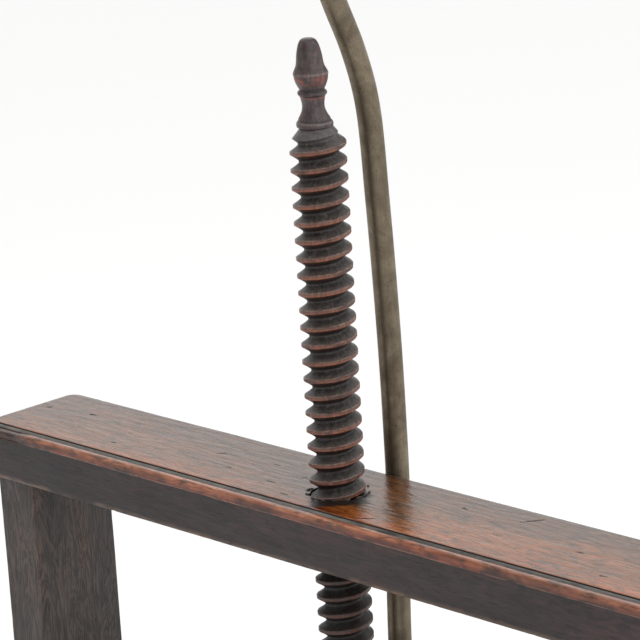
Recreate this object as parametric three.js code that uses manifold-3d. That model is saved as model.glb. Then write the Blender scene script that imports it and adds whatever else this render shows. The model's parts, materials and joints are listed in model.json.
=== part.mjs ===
// Bookbinding press: a wooden screw press on a board, fitted with a bent brass lamp tube.
// Millimetres, +Z up. X runs along the beam, -Y is the front, and the origin is on the floor
// under the middle of the base board, which is also the axis of the press screw.
import * as THREE from "three";
import { mergeVertices } from "three/addons/utils/BufferGeometryUtils.js";
import Module from "manifold-3d";

const wasm = await Module();
wasm.setup();

// Driving dimensions -------------------------------------------------------------------------
const GAP = 0.3; // between pieces that touch or fit into each other

const BASE = { length: 680, depth: 240, thickness: 36, bottom: 18 };
const FOOT = { side: 54, inset: 8, chamfer: 3, counterbore: 5.4, counterboreDepth: 6 };
const FOOT_SCREW = { length: 30, head: 4.6, shank: 2, seat: 5.7, hole: 2.4, holeDepth: 17 };
const BED_Z = BASE.bottom + BASE.thickness;

const POST = { inner: 266, outer: 302, halfDepth: 35, chamfer: 1.5 };
const TENON = { inset: 8, halfDepth: 25, top: 23 };
const WEDGE = { y: 12, thick: 3.6, thin: 1, depth: 24 };
const PEG = { y: 13, z: 376, radius: 4, from: 264, proud: 0.6 };
const BEAM = { halfLength: 309, halfDepth: 43.5, bottom: 364, top: 400 };
const MOULD = { bead: 7, quirk: 3, quirkDepth: 2, drop: 6.3, proud: 0.7 };

const THREAD = { pitch: 11, major: 17.6, minor: 12.2, land: 2.3, rootLand: 1.2, sides: 16 };
const THREAD_FACING = THREE.MathUtils.degToRad(-43.6); // a crest meets the beam top at this angle
const THREAD_TOP = 631.5;
const THREAD_BOTTOM = 275;
const THREAD_PLAY = { radial: 0.7, axial: 0.85 };
const FINIAL_TOP = 687.5;
const SPIGOT_BOTTOM = 256;

const HEAD = { top: 274.5, bottom: 205.5, holeZ: 242, holeRadius: 7.5 };
const TOE = { radius: 14, bottom: 181, grooveRadius: 10, grooveLow: 188.5, grooveHigh: 196.5 };
const THRUST_DISC_THICKNESS = 2.2;

const PLATEN = { bottom: 154, top: 178, halfDepth: 85, halfLength: 290, playToPost: 1.5 };
const TUBE_NOTCH = { halfWidth: 14, from: 32 };
const CLEAT = { halfLength: 72, halfDepth: 31, top: 204, chamfer: 6 };
const KEY = { halfWidth: 16, bottom: 190, top: 195.5, proud: 2.5 }; // the two garter keys
const DOWEL = { x: 56, y: 17, radius: 4.5, bottom: 160, proud: 0.6 };

const TUBE = { radius: 7.65, bore: 6.3, bottom: 7, top: 815, foot: 46 };
const TUBE_GRIP = TUBE.radius + 0.4; // bore of every ring that fits round the tube
const COLLAR = { radius: 10.8, edge: 3.7, shoulder: 9.2, height: 7.7 };
const WASHER = { radius: 15, bottom: 16 };
const NUT = { radius: 13, bottom: 10.7, top: 15.7 };
const BUSH = { bore: 4, flange: 8.6, bottom: 4.4, plug: 5.8, top: 16 };
const CLIP = { z: 382, height: 14, thickness: 1.4, halfLength: 24, screwX: 17, tubeY: 53 };
const CLIP_SCREW = { length: 14, head: 3.6, shank: 1.7, hole: 2.2, holeDepth: 16 };

const PIN = { x: 320.5, radius: 6.5, knob: 10.5, bottom: 72, restZ: 285 };
const EYE = { play: 0.9, wall: 3.3, halfHeight: 3, shank: 2.5, depth: 15 };
const EYE_HEIGHTS = { lower: 130, upper: 282 };

const HOLDER = { bottom: 809.3, shellBottom: 824, top: 868, radius: 17, wall: 1.2, keyZ: 834 };
const SWITCH = { shaft: 1.7, shaftFrom: 3, shaftTo: 25, thumbX: 30.5, thumb: [8, 5.2, 2.4] };

// Materials ----------------------------------------------------------------------------------
const finish = (color, roughness, metalness) =>
  new THREE.MeshStandardMaterial({ color, roughness, metalness });
const polishedWood = () => finish(0x6b4436, 0.35, 0);
const darkWood = () => finish(0x4a3a35, 0.5, 0);
const screwWood = () => finish(0x4b3a34, 0.45, 0);
const pegWood = () => finish(0x5a3a2a, 0.6, 0);
const agedBrass = () => finish(0x857a5f, 0.35, 0.9);
const darkSteel = () => finish(0x55534f, 0.45, 0.9);
const porcelain = () => finish(0xe6e0d2, 0.3, 0);
const blackPlastic = () => finish(0x1b1a19, 0.4, 0);

// Solids -------------------------------------------------------------------------------------
function solid(geometry) {
  const bare = geometry.index ? geometry.toNonIndexed() : geometry.clone();
  bare.deleteAttribute("normal");
  bare.deleteAttribute("uv");
  const merged = mergeVertices(bare, 1e-4);
  return new wasm.Manifold(new wasm.Mesh({
    numProp: 3,
    vertProperties: new Float32Array(merged.attributes.position.array),
    triVerts: new Uint32Array(merged.index.array),
  }));
}

function geometryOf(manifold) {
  const mesh = manifold.getMesh();
  const geometry = new THREE.BufferGeometry();
  geometry.setAttribute("position", new THREE.BufferAttribute(mesh.vertProperties, 3));
  geometry.setIndex(new THREE.BufferAttribute(mesh.triVerts, 1));
  geometry.computeVertexNormals();
  return geometry;
}

function block(x0, x1, y0, y1, z0, z1) {
  const geometry = new THREE.BoxGeometry(x1 - x0, y1 - y0, z1 - z0);
  return geometry.translate((x0 + x1) / 2, (y0 + y1) / 2, (z0 + z1) / 2);
}

// A straight round bar from one point to another.
function bar(from, to, radius, sides = 16) {
  const start = new THREE.Vector3(...from);
  const along = new THREE.Vector3(...to).sub(start);
  const geometry = new THREE.CylinderGeometry(radius, radius, along.length(), sides);
  geometry.translate(0, along.length() / 2, 0);
  const turn = new THREE.Quaternion().setFromUnitVectors(
    new THREE.Vector3(0, 1, 0), along.clone().normalize());
  return geometry.applyQuaternion(turn).translate(start.x, start.y, start.z);
}

// A turned shape about the vertical axis, from [radius, height] points.
function turned(points, sides = 20) {
  const outline = points.map(([radius, height]) => new THREE.Vector2(radius, height));
  return new THREE.LatheGeometry(outline, sides).rotateX(Math.PI / 2);
}

// A ring turned about the vertical axis: its outline closes on itself.
const turnedRing = (points, sides = 20) => turned([...points, points[0]], sides);

// An outline in the YZ plane, extruded along X.
function alongX(points, x0, x1) {
  const shape = new THREE.Shape(points.map(([y, z]) => new THREE.Vector2(y, z)));
  const geometry = new THREE.ExtrudeGeometry(shape, { depth: x1 - x0, bevelEnabled: false });
  geometry.applyMatrix4(new THREE.Matrix4().makeBasis(
    new THREE.Vector3(0, 1, 0), new THREE.Vector3(0, 0, 1), new THREE.Vector3(1, 0, 0)));
  return geometry.translate(x0, 0, 0);
}

// An outline in the XY plane, extruded upwards.
function upwards(shape, z0, z1, curveSegments = 10) {
  const options = { depth: z1 - z0, bevelEnabled: false, curveSegments };
  return new THREE.ExtrudeGeometry(shape, options).translate(0, 0, z0);
}

function chamferedBar(halfX, halfY, chamfer, centreX, z0, z1) {
  const shape = new THREE.Shape([
    new THREE.Vector2(centreX - halfX + chamfer, -halfY),
    new THREE.Vector2(centreX + halfX - chamfer, -halfY),
    new THREE.Vector2(centreX + halfX, -halfY + chamfer),
    new THREE.Vector2(centreX + halfX, halfY - chamfer),
    new THREE.Vector2(centreX + halfX - chamfer, halfY),
    new THREE.Vector2(centreX - halfX + chamfer, halfY),
    new THREE.Vector2(centreX - halfX, halfY - chamfer),
    new THREE.Vector2(centreX - halfX, -halfY + chamfer),
  ]);
  return upwards(shape, z0, z1);
}

const cut = (body, ...tools) => tools.reduce((left, tool) => left.subtract(tool), body);
const join = (body, ...others) => others.reduce((left, other) => left.add(other), body);

// A threaded bar: one profile (root, flank, crest, flank) wound up the axis, with each turn
// joined to the one above it along the root, and a fan over each end. Growing it by the play
// gives the tool that cuts the matching thread in the beam.
function threadedBar(z0, z1, radialPlay = 0, axialPlay = 0) {
  const { pitch, major, minor, land, rootLand, sides } = THREAD;
  const slope = (pitch - land - rootLand) / 2 / (major - minor);
  const outer = major + radialPlay;
  const inner = minor + radialPlay;
  const halfWidth = (radius) => land / 2 + axialPlay + slope * (major - radius);
  const section = [
    [inner, -halfWidth(inner)],
    [outer, -halfWidth(outer)],
    [outer, halfWidth(outer)],
    [inner, halfWidth(inner)],
  ];
  const first = Math.floor(((z0 - BEAM.top) / pitch) * sides);
  const last = Math.ceil(((z1 - BEAM.top) / pitch) * sides);
  const positions = [];
  for (let step = first; step <= last; step++) {
    const angle = THREAD_FACING + (step / sides) * 2 * Math.PI;
    const height = BEAM.top + (step / sides) * pitch;
    for (const [radius, rise] of section) {
      positions.push(radius * Math.cos(angle), radius * Math.sin(angle), height + rise);
    }
  }
  const end = last - first;
  const corner = (ring, k) => ring * 4 + k;
  const index = [];
  const quad = (a, b, c, d) => index.push(a, b, c, a, c, d);
  for (let ring = 0; ring < end; ring++) {
    for (let k = 0; k < 3; k++) {
      quad(corner(ring, k), corner(ring + 1, k), corner(ring + 1, k + 1), corner(ring, k + 1));
    }
    if (ring + sides < end) {
      quad(corner(ring, 3), corner(ring + 1, 3),
        corner(ring + sides + 1, 0), corner(ring + sides, 0));
    }
  }
  const lowRim = [3, 2, 1, 0].map((k) => corner(0, k));
  const highRim = [0, 1, 2, 3].map((k) => corner(end, k));
  for (let ring = 1; ring <= sides; ring++) {
    lowRim.push(corner(ring, 0));
    highRim.push(corner(end - ring, 3));
  }
  const fan = (rim, height) => {
    const centre = positions.length / 3;
    positions.push(0, 0, height);
    rim.forEach((vertex, i) => index.push(centre, rim[(i + 1) % rim.length], vertex));
  };
  fan(lowRim, BEAM.top + (first / sides) * pitch);
  fan(highRim, BEAM.top + (last / sides) * pitch);
  return new wasm.Manifold(new wasm.Mesh({
    numProp: 3,
    vertProperties: new Float32Array(positions),
    triVerts: new Uint32Array(index),
  }));
}

function core(radius, z0, z1) {
  const geometry = bar([0, 0, z0], [0, 0, z1], radius, THREAD.sides);
  return solid(geometry.rotateZ(THREAD_FACING));
}

// Scene --------------------------------------------------------------------------------------
const group = new THREE.Group();

function add(name, shape, material) {
  const geometry = shape instanceof THREE.BufferGeometry ? shape : geometryOf(shape);
  const mesh = new THREE.Mesh(geometry, material);
  mesh.name = name;
  group.add(mesh);
  return mesh;
}

const SIDES = [["left", -1], ["right", 1]];
const tenonMiddle = (POST.inner + POST.outer) / 2;
const tenonHalf = (POST.outer - POST.inner) / 2 - TENON.inset;

// Board section with a quirk and a bead along its front top edge.
function mouldedSection(halfDepth, bottom, top) {
  const front = -halfDepth;
  const quirkIn = front + MOULD.bead + MOULD.quirk;
  const quirkFront = front + MOULD.bead;
  return [
    [front + 1, bottom],
    [front, bottom + 1],
    [front, top - MOULD.drop],
    [front - MOULD.proud, top - MOULD.drop + 0.8],
    [front - MOULD.proud, top - 2.2],
    [front + 1.2, top - 0.5],
    [quirkFront - 1.5, top - 0.2],
    [quirkFront, top - MOULD.quirkDepth],
    [quirkIn - 0.6, top - MOULD.quirkDepth],
    [quirkIn, top],
    [halfDepth - 1, top],
    [halfDepth, top - 1],
    [halfDepth, bottom + 1],
    [halfDepth - 1, bottom],
  ];
}

// Base board ---------------------------------------------------------------------------------
function addBase() {
  const half = BASE.length / 2;
  const halfDepth = BASE.depth / 2 - MOULD.proud / 2;
  const section = mouldedSection(halfDepth, BASE.bottom, BED_Z)
    .map(([y, z]) => [y + MOULD.proud / 2, z]);
  let board = solid(alongX(section, -half, half));
  const tubeHole = bar([0, TUBE.foot, 0], [0, TUBE.foot, BED_Z + 5], TUBE.radius + 0.6, 20);
  board = cut(board, solid(tubeHole));
  for (const [, side] of SIDES) {
    const x = side * tenonMiddle;
    const width = tenonHalf + GAP;
    const depth = TENON.halfDepth + GAP;
    board = cut(board, solid(block(x - width, x + width, -depth, depth, 0, BED_Z + 5)));
  }
  for (const [x, y] of footCentres()) {
    const end = [x, y, BASE.bottom + FOOT_SCREW.holeDepth];
    board = cut(board, solid(bar([x, y, 0], end, FOOT_SCREW.hole, 10)));
  }
  add("base_board", board, darkWood());
}

function footCentres() {
  const x = BASE.length / 2 - FOOT.inset - FOOT.side / 2;
  const y = BASE.depth / 2 - FOOT.inset - FOOT.side / 2;
  return [[-x, -y], [x, -y], [-x, y], [x, y]];
}

function addFeet() {
  const half = FOOT.side / 2;
  footCentres().forEach(([x, y], i) => {
    const pad = upwards(new THREE.Shape([
      new THREE.Vector2(half, half - FOOT.chamfer),
      new THREE.Vector2(half - FOOT.chamfer, half),
      new THREE.Vector2(-half + FOOT.chamfer, half),
      new THREE.Vector2(-half, half - FOOT.chamfer),
      new THREE.Vector2(-half, -half + FOOT.chamfer),
      new THREE.Vector2(-half + FOOT.chamfer, -half),
      new THREE.Vector2(half - FOOT.chamfer, -half),
      new THREE.Vector2(half, -half + FOOT.chamfer),
    ]), 0, BASE.bottom - GAP);
    const counterbore = bar([0, 0, -1], [0, 0, FOOT.counterboreDepth], FOOT.counterbore, 12);
    const shankHole = bar([0, 0, -1], [0, 0, BASE.bottom + 1], FOOT_SCREW.hole, 10);
    const foot = cut(solid(pad), solid(counterbore), solid(shankHole));
    add(`foot_${i + 1}`, geometryOf(foot).translate(x, y, 0), darkWood());
    add(`foot_screw_${i + 1}`, woodScrew(FOOT_SCREW).translate(x, y, FOOT_SCREW.seat), darkSteel());
  });
}

// A slotted screw that points up, with the underside of its head at the origin.
function woodScrew({ length, head, shank }) {
  const screw = turned([
    [0, -3.4],
    [head * 0.7, -3.2],
    [head, -1.8],
    [head, 0],
    [shank, 0],
    [shank, length - 5],
    [0, length - 1],
  ], 10);
  const slot = block(-head - 1, head + 1, -0.6, 0.6, -5, -2);
  return geometryOf(cut(solid(screw), solid(slot)));
}

// Posts, with a stub tenon up into the beam and a wedged tenon down through the base ------------
function wedgeSection(y, grow) {
  const low = BASE.bottom + (grow ? -1 : GAP);
  const high = BASE.bottom + WEDGE.depth + grow;
  return [
    [y - WEDGE.thick / 2 - grow, low],
    [y + WEDGE.thick / 2 + grow, low],
    [y + WEDGE.thin / 2 + grow, high],
    [y - WEDGE.thin / 2 - grow, high],
  ];
}

function addPosts() {
  for (const [name, side] of SIDES) {
    const x = side * tenonMiddle;
    const half = (POST.outer - POST.inner) / 2;
    const low = BED_Z + GAP;
    const high = BEAM.bottom - GAP;
    const shaft = chamferedBar(half, POST.halfDepth, POST.chamfer, x, low, high);
    const width = tenonHalf;
    const depth = TENON.halfDepth;
    const tenons = block(x - width, x + width, -depth, depth,
      BASE.bottom + GAP, BEAM.bottom + TENON.top - 2 * GAP);
    let post = join(solid(shaft), solid(tenons));
    for (const y of [-WEDGE.y, WEDGE.y]) {
      post = cut(post, solid(alongX(wedgeSection(y, GAP), x - width - 1, x + width + 1)));
      const wedge = alongX(wedgeSection(y, 0), x - width, x + width);
      add(`wedge_${name}_${y < 0 ? "front" : "back"}`, wedge, pegWood());
    }
    post = cut(post, ...beamPegs(side, GAP).map(solid));
    if (side > 0) {
      post = cut(post, ...Object.values(EYE_HEIGHTS).map((z) => solid(bar(
        [POST.outer - EYE.depth - 1, 0, z], [POST.outer + 5, 0, z], EYE.shank + GAP, 12))));
    }
    add(`${name}_post`, post, darkWood());
  }
}

// Two pegs at each end, through the beam and the post's tenon; grown, they cut their own holes.
function beamPegs(side, grow) {
  return [-PEG.y, PEG.y].map((y) => bar(
    [side * (PEG.from - grow), y, PEG.z],
    [side * (BEAM.halfLength + (grow ? 5 : PEG.proud)), y, PEG.z],
    PEG.radius + grow, 12));
}

function addBeamPegs() {
  for (const [name, side] of SIDES) {
    const places = ["front", "back"];
    beamPegs(side, 0).forEach((peg, i) => add(`beam_peg_${name}_${places[i]}`, peg, pegWood()));
  }
}

// Top beam, which is the nut of the screw --------------------------------------------------------
function addBeam() {
  const section = mouldedSection(BEAM.halfDepth, BEAM.bottom, BEAM.top);
  let beam = solid(alongX(section, -BEAM.halfLength, BEAM.halfLength));
  const nutThread = threadedBar(BEAM.bottom - 12, BEAM.top + 12,
    THREAD_PLAY.radial, THREAD_PLAY.axial);
  const topCounter = turned([
    [0, BEAM.top - 1.5],
    [THREAD.major + 0.4, BEAM.top - 1.5],
    [THREAD.major + 1, BEAM.top + 2],
    [0, BEAM.top + 2],
  ], THREAD.sides);
  beam = cut(beam, nutThread, solid(topCounter));
  for (const [, side] of SIDES) {
    const x = side * tenonMiddle;
    const width = tenonHalf + GAP;
    const depth = TENON.halfDepth + GAP;
    const mortise = block(x - width, x + width, -depth, depth,
      BEAM.bottom - 5, BEAM.bottom + TENON.top);
    beam = cut(beam, solid(mortise), ...beamPegs(side, GAP).map(solid));
  }
  for (const x of [-CLIP.screwX, CLIP.screwX]) {
    const from = [x, BEAM.halfDepth + 5, CLIP.z];
    const end = [x, BEAM.halfDepth - CLIP_SCREW.holeDepth, CLIP.z];
    beam = cut(beam, solid(bar(from, end, CLIP_SCREW.hole, 10)));
  }
  add("top_beam", beam, polishedWood());
}

// Press screw: thread and finial turned from one length ------------------------------------------
function finial() {
  return turned([
    [0, THREAD_TOP - 6],
    [THREAD.minor - 1.5, THREAD_TOP - 6],
    [11, THREAD_TOP + 1],
    [11.3, THREAD_TOP + 3],
    [10.1, THREAD_TOP + 6.2],
    [7.5, THREAD_TOP + 11.3],
    [6.85, THREAD_TOP + 14.5],
    [7.65, THREAD_TOP + 19],
    [9, THREAD_TOP + 21.8],
    [7.9, THREAD_TOP + 24.7],
    [10, THREAD_TOP + 29.2],
    [11, THREAD_TOP + 33.6],
    [9.3, THREAD_TOP + 38.1],
    [8.1, THREAD_TOP + 44.5],
    [7.6, THREAD_TOP + 48.3],
    [6.3, THREAD_TOP + 52.2],
    [4.6, THREAD_TOP + 54.8],
    [0, FINIAL_TOP],
  ], 20);
}

function addPressScrew() {
  const envelope = solid(turned([
    [0, THREAD_BOTTOM],
    [THREAD.minor + 0.6, THREAD_BOTTOM],
    [THREAD.major + 1, THREAD_BOTTOM + 5],
    [THREAD.major + 1, THREAD_TOP - 14],
    [THREAD.minor - 1, THREAD_TOP + 1],
    [0, THREAD_TOP + 1],
  ], THREAD.sides));
  const thread = threadedBar(THREAD_BOTTOM - 8, THREAD_TOP + 8).intersect(envelope);
  const spigot = core(THREAD.minor, SPIGOT_BOTTOM, THREAD_BOTTOM + 4);
  add("press_screw", join(thread, spigot, solid(finial())), screwWood());
}

// Turned head under the thread, bored crosswise for the press pin, with a toe for the platen ------
function addScrewHead() {
  const { top, bottom } = HEAD;
  const outline = turned([
    [0, TOE.bottom],
    [TOE.radius - 1.5, TOE.bottom],
    [TOE.radius, TOE.bottom + 1.5],
    [TOE.radius, TOE.grooveLow],
    [TOE.grooveRadius, TOE.grooveLow],
    [TOE.grooveRadius, TOE.grooveHigh],
    [TOE.radius, TOE.grooveHigh],
    [TOE.radius, bottom],
    [23, bottom],
    [25.5, bottom + 3],
    [24, bottom + 7],
    [28.5, bottom + 13],
    [32.3, bottom + 25],
    [33, bottom + 36.5],
    [32.3, bottom + 48],
    [28.5, bottom + 59],
    [21, bottom + 64],
    [19, top],
    [0, top],
  ], 20);
  const socket = core(THREAD.minor + GAP, SPIGOT_BOTTOM - GAP, top + 5);
  const beyond = 40; // past the head on either side
  const holes = [
    bar([-beyond, 0, HEAD.holeZ], [beyond, 0, HEAD.holeZ], HEAD.holeRadius, 16),
    bar([0, -beyond, HEAD.holeZ], [0, beyond, HEAD.holeZ], HEAD.holeRadius, 16),
  ];
  add("screw_head", cut(solid(outline), socket, ...holes.map(solid)), screwWood());
}

// Platen, guided on the posts, with the cleat and keys that hold the screw's toe ------------------
function addPlaten() {
  const { halfLength, halfDepth, bottom, top } = PLATEN;
  let board = solid(block(-halfLength, halfLength, -halfDepth, halfDepth, bottom, top));
  const guideDepth = POST.halfDepth + PLATEN.playToPost;
  const guideStart = POST.inner - PLATEN.playToPost;
  for (const [, side] of SIDES) {
    const ends = [side * guideStart, side * (halfLength + 5)].sort((a, b) => a - b);
    board = cut(board, solid(block(...ends, -guideDepth, guideDepth, bottom - 5, top + 5)));
  }
  const notch = TUBE_NOTCH.halfWidth;
  board = cut(board, solid(block(-notch, notch, TUBE_NOTCH.from, halfDepth + 5,
    bottom - 5, top + 5)));
  board = cut(board, ...dowels(GAP).map(solid));
  add("platen_board", board, darkWood());
}

function dowels(grow) {
  const places = [[-DOWEL.x, -DOWEL.y], [DOWEL.x, -DOWEL.y], [-DOWEL.x, DOWEL.y], [DOWEL.x, DOWEL.y]];
  return places.map(([x, y]) => bar(
    [x, y, DOWEL.bottom - grow],
    [x, y, CLEAT.top + (grow ? 5 : DOWEL.proud)],
    DOWEL.radius + grow, 14));
}

function addCleat() {
  const { halfLength, halfDepth, top, chamfer } = CLEAT;
  const low = PLATEN.top + GAP;
  const body = chamferedBar(halfLength, halfDepth, chamfer, 0, low, top);
  const bore = bar([0, 0, low - 5], [0, 0, top + 5], TOE.radius + 0.8, 24);
  const slot = block(-KEY.halfWidth - GAP, KEY.halfWidth + GAP, -halfDepth - 5, halfDepth + 5,
    KEY.bottom - GAP, KEY.top + GAP);
  const cleat = cut(solid(body), solid(bore), solid(slot), ...dowels(GAP).map(solid));
  add("platen_cleat", cleat, darkWood());
  dowels(0).forEach((dowel, i) => add(`cleat_dowel_${i + 1}`, dowel, pegWood()));
  const disc = bar([0, 0, low], [0, 0, low + THRUST_DISC_THICKNESS], TOE.radius, 24);
  add("thrust_disc", disc, darkSteel());
  const grip = solid(bar([0, 0, KEY.bottom - 5], [0, 0, KEY.top + 5], TOE.grooveRadius + 0.7, 24));
  for (const [name, side] of [["front", -1], ["back", 1]]) {
    const ends = [side, side * (halfDepth + KEY.proud)].sort((a, b) => a - b);
    const plate = block(-KEY.halfWidth, KEY.halfWidth, ...ends, KEY.bottom, KEY.top);
    add(`garter_key_${name}`, cut(solid(plate), grip), pegWood());
  }
}

// Lamp tube: rises behind the beam and bends forward until it stands over the screw ---------------
function tubePath() {
  return new THREE.CatmullRomCurve3([
    [TUBE.foot, TUBE.bottom],
    [TUBE.foot, 60],
    [46.2, 160],
    [47, 250],
    [48.6, 316],
    [53, 382],
    [53.3, 430],
    [52.3, 490],
    [48.6, 576],
    [44, 640],
    [34.9, 673],
    [20.6, 706],
    [8.2, 736],
    [1.5, 764],
    [0, 790],
    [0, TUBE.top],
  ].map(([y, z]) => new THREE.Vector3(0, y, z)), false, "centripetal");
}

function addTube() {
  const ring = new THREE.Shape().absarc(0, 0, TUBE.radius, 0, 2 * Math.PI);
  ring.holes.push(new THREE.Path().absarc(0, 0, TUBE.bore, 0, 2 * Math.PI, true));
  const tube = new THREE.ExtrudeGeometry(ring, {
    extrudePath: tubePath(),
    steps: 36,
    curveSegments: 6,
    bevelEnabled: false,
  });
  add("lamp_tube", solid(tube), agedBrass());
}

// What holds the tube: collar on the bed, washer and nut under the base, clip behind the beam -----
function addTubeFixings() {
  const y = TUBE.foot;
  const collar = turnedRing([
    [TUBE_GRIP, BED_Z + GAP],
    [COLLAR.radius, BED_Z + GAP],
    [COLLAR.radius, BED_Z + GAP + COLLAR.edge],
    [COLLAR.shoulder, BED_Z + GAP + COLLAR.height - 1],
    [TUBE_GRIP, BED_Z + GAP + COLLAR.height],
  ]);
  add("tube_collar", collar.translate(0, y, 0), agedBrass());
  const washer = turnedRing([
    [TUBE_GRIP, WASHER.bottom],
    [WASHER.radius, WASHER.bottom],
    [WASHER.radius, BASE.bottom - GAP],
    [TUBE_GRIP, BASE.bottom - GAP],
  ]);
  add("tube_washer", washer.translate(0, y, 0), darkSteel());
  const thickness = NUT.top - NUT.bottom;
  const hex = new THREE.CylinderGeometry(NUT.radius, NUT.radius, thickness, 6);
  hex.rotateX(Math.PI / 2).translate(0, y, (NUT.top + NUT.bottom) / 2);
  const nutHole = bar([0, y, 0], [0, y, BASE.bottom], TUBE_GRIP, 20);
  add("tube_nut", cut(solid(hex), solid(nutHole)), agedBrass());
  const bush = turnedRing([
    [BUSH.bore, BUSH.bottom],
    [BUSH.flange, BUSH.bottom],
    [BUSH.flange, TUBE.bottom - GAP],
    [BUSH.plug, TUBE.bottom - GAP],
    [BUSH.plug, BUSH.top],
    [BUSH.bore, BUSH.top],
  ]);
  add("cord_bush", bush.translate(0, y, 0), blackPlastic());
  addClip();
}

function addClip() {
  const centre = CLIP.tubeY;
  const near = BEAM.halfDepth + GAP;
  const far = near + CLIP.thickness;
  const inner = TUBE_GRIP;
  const outer = inner + CLIP.thickness;
  const strap = new THREE.Shape();
  strap.moveTo(-CLIP.halfLength, near);
  strap.lineTo(-inner, near);
  strap.lineTo(-inner, centre);
  strap.absarc(0, centre, inner, Math.PI, 0, true);
  strap.lineTo(inner, near);
  strap.lineTo(CLIP.halfLength, near);
  strap.lineTo(CLIP.halfLength, far);
  strap.lineTo(outer, far);
  strap.lineTo(outer, centre);
  strap.absarc(0, centre, outer, 0, Math.PI, false);
  strap.lineTo(-outer, far);
  strap.lineTo(-CLIP.halfLength, far);
  let clip = solid(upwards(strap, CLIP.z - CLIP.height / 2, CLIP.z + CLIP.height / 2));
  [["left", -CLIP.screwX], ["right", CLIP.screwX]].forEach(([name, x]) => {
    clip = cut(clip, solid(bar([x, near - 3, CLIP.z], [x, far + 3, CLIP.z], CLIP_SCREW.hole, 10)));
    const screw = woodScrew(CLIP_SCREW).rotateX(Math.PI / 2);
    add(`clip_screw_${name}`, screw.translate(x, far + GAP, CLIP.z), agedBrass());
  });
  add("beam_clip", clip, agedBrass());
}

// Lampholder with a turn key ---------------------------------------------------------------------
function addLampholder() {
  const { bottom, shellBottom, top, radius, wall, keyZ } = HOLDER;
  const grip = TUBE_GRIP;
  add("check_ring", turnedRing([
    [grip, bottom - 4.5],
    [11.2, bottom - 4.5],
    [11.2, bottom - GAP],
    [grip, bottom - GAP],
  ]), agedBrass());
  add("holder_cap", turnedRing([
    [grip, bottom],
    [10.5, bottom],
    [11, bottom + 5],
    [15.5, bottom + 9],
    [radius + 1.5, bottom + 14.5],
    [radius + 1.5, bottom + 19],
    [radius + 0.3, bottom + 19],
    [radius + 0.3, bottom + 14.9],
    [14.6, bottom + 10.3],
    [10, bottom + 6.6],
    [grip, bottom + 6.4],
  ], 20), agedBrass());
  const shell = turnedRing([
    [radius - wall, shellBottom + 1],
    [radius, shellBottom + 1],
    [radius, top - 4],
    [radius + 1.4, top - 3],
    [radius + 1.6, top - 1.5],
    [radius + 0.8, top],
    [radius - wall, top],
  ], 20);
  const keyHole = bar([5, 0, keyZ], [radius + 5, 0, keyZ], 3.2, 14);
  add("holder_shell", cut(solid(shell), solid(keyHole)), agedBrass());
  const fill = radius - wall - GAP - 0.1; // radius of what fits inside the shell
  const blockTop = shellBottom + 17;
  const insulator = bar([0, 0, shellBottom + 4], [0, 0, blockTop], fill, 20);
  const keyBore = bar([2, 0, keyZ], [radius + 5, 0, keyZ], 2.4, 14);
  add("socket_block", cut(solid(insulator), solid(keyBore)), porcelain());
  const linerLow = blockTop + GAP;
  const liner = turnedRing([
    [4.4, linerLow],
    [fill, linerLow],
    [fill, top - 3],
    [fill - 2, top - 3],
    [fill - 2, linerLow + 2.2],
    [4.4, linerLow + 2.2],
  ]);
  add("socket_liner", liner, blackPlastic());
  add("centre_contact", turned([
    [0, linerLow],
    [3.8, linerLow],
    [3.8, linerLow + 3.4],
    [2.4, linerLow + 5.2],
    [0, linerLow + 5.6],
  ], 12), agedBrass());
  addSwitchKey();
}

function addSwitchKey() {
  const z = HOLDER.keyZ;
  const [halfLength, halfWidth, thickness] = SWITCH.thumb;
  const shaft = bar([SWITCH.shaftFrom, 0, z], [SWITCH.shaftTo, 0, z], SWITCH.shaft, 12);
  const oval = new THREE.Shape().absellipse(0, 0, halfLength, halfWidth, 0, 2 * Math.PI);
  const plate = upwards(oval, -thickness / 2, thickness / 2);
  plate.rotateX(Math.PI / 2).translate(SWITCH.thumbX, 0, z);
  add("switch_key", join(solid(shaft), solid(plate)), blackPlastic());
}

// Press pin, hanging by its knob in two eyes on the right post ------------------------------------
function addPin() {
  const { x, radius, knob, bottom, restZ } = PIN;
  add("press_pin", turned([
    [0, bottom],
    [radius - 2, bottom],
    [radius - 0.5, bottom + 3],
    [radius, restZ - 20],
    [radius, restZ + GAP],
    [knob * 0.8, restZ + GAP],
    [knob, restZ + 4],
    [knob, restZ + 9],
    [knob * 0.7, restZ + 14],
    [0, restZ + 16],
  ], 16).translate(x, 0, 0), darkSteel());
  const inner = radius + EYE.play;
  for (const [name, z] of Object.entries(EYE_HEIGHTS)) {
    const ring = turnedRing([
      [inner, z - EYE.halfHeight],
      [inner + EYE.wall, z - EYE.halfHeight],
      [inner + EYE.wall, z + EYE.halfHeight],
      [inner, z + EYE.halfHeight],
    ], 16).translate(x, 0, 0);
    const shank = bar([POST.outer - EYE.depth, 0, z], [x - inner - 1, 0, z], EYE.shank, 10);
    add(`pin_eye_${name}`, join(solid(ring), solid(shank)), darkSteel());
  }
}

addBase();
addFeet();
addPosts();
addBeam();
addBeamPegs();
addPressScrew();
addScrewHead();
addPlaten();
addCleat();
addTube();
addTubeFixings();
addLampholder();
addPin();

export default group;
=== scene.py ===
import json
import math

import bmesh
import bpy
import numpy as np
from mathutils import Matrix, Vector, noise

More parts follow.
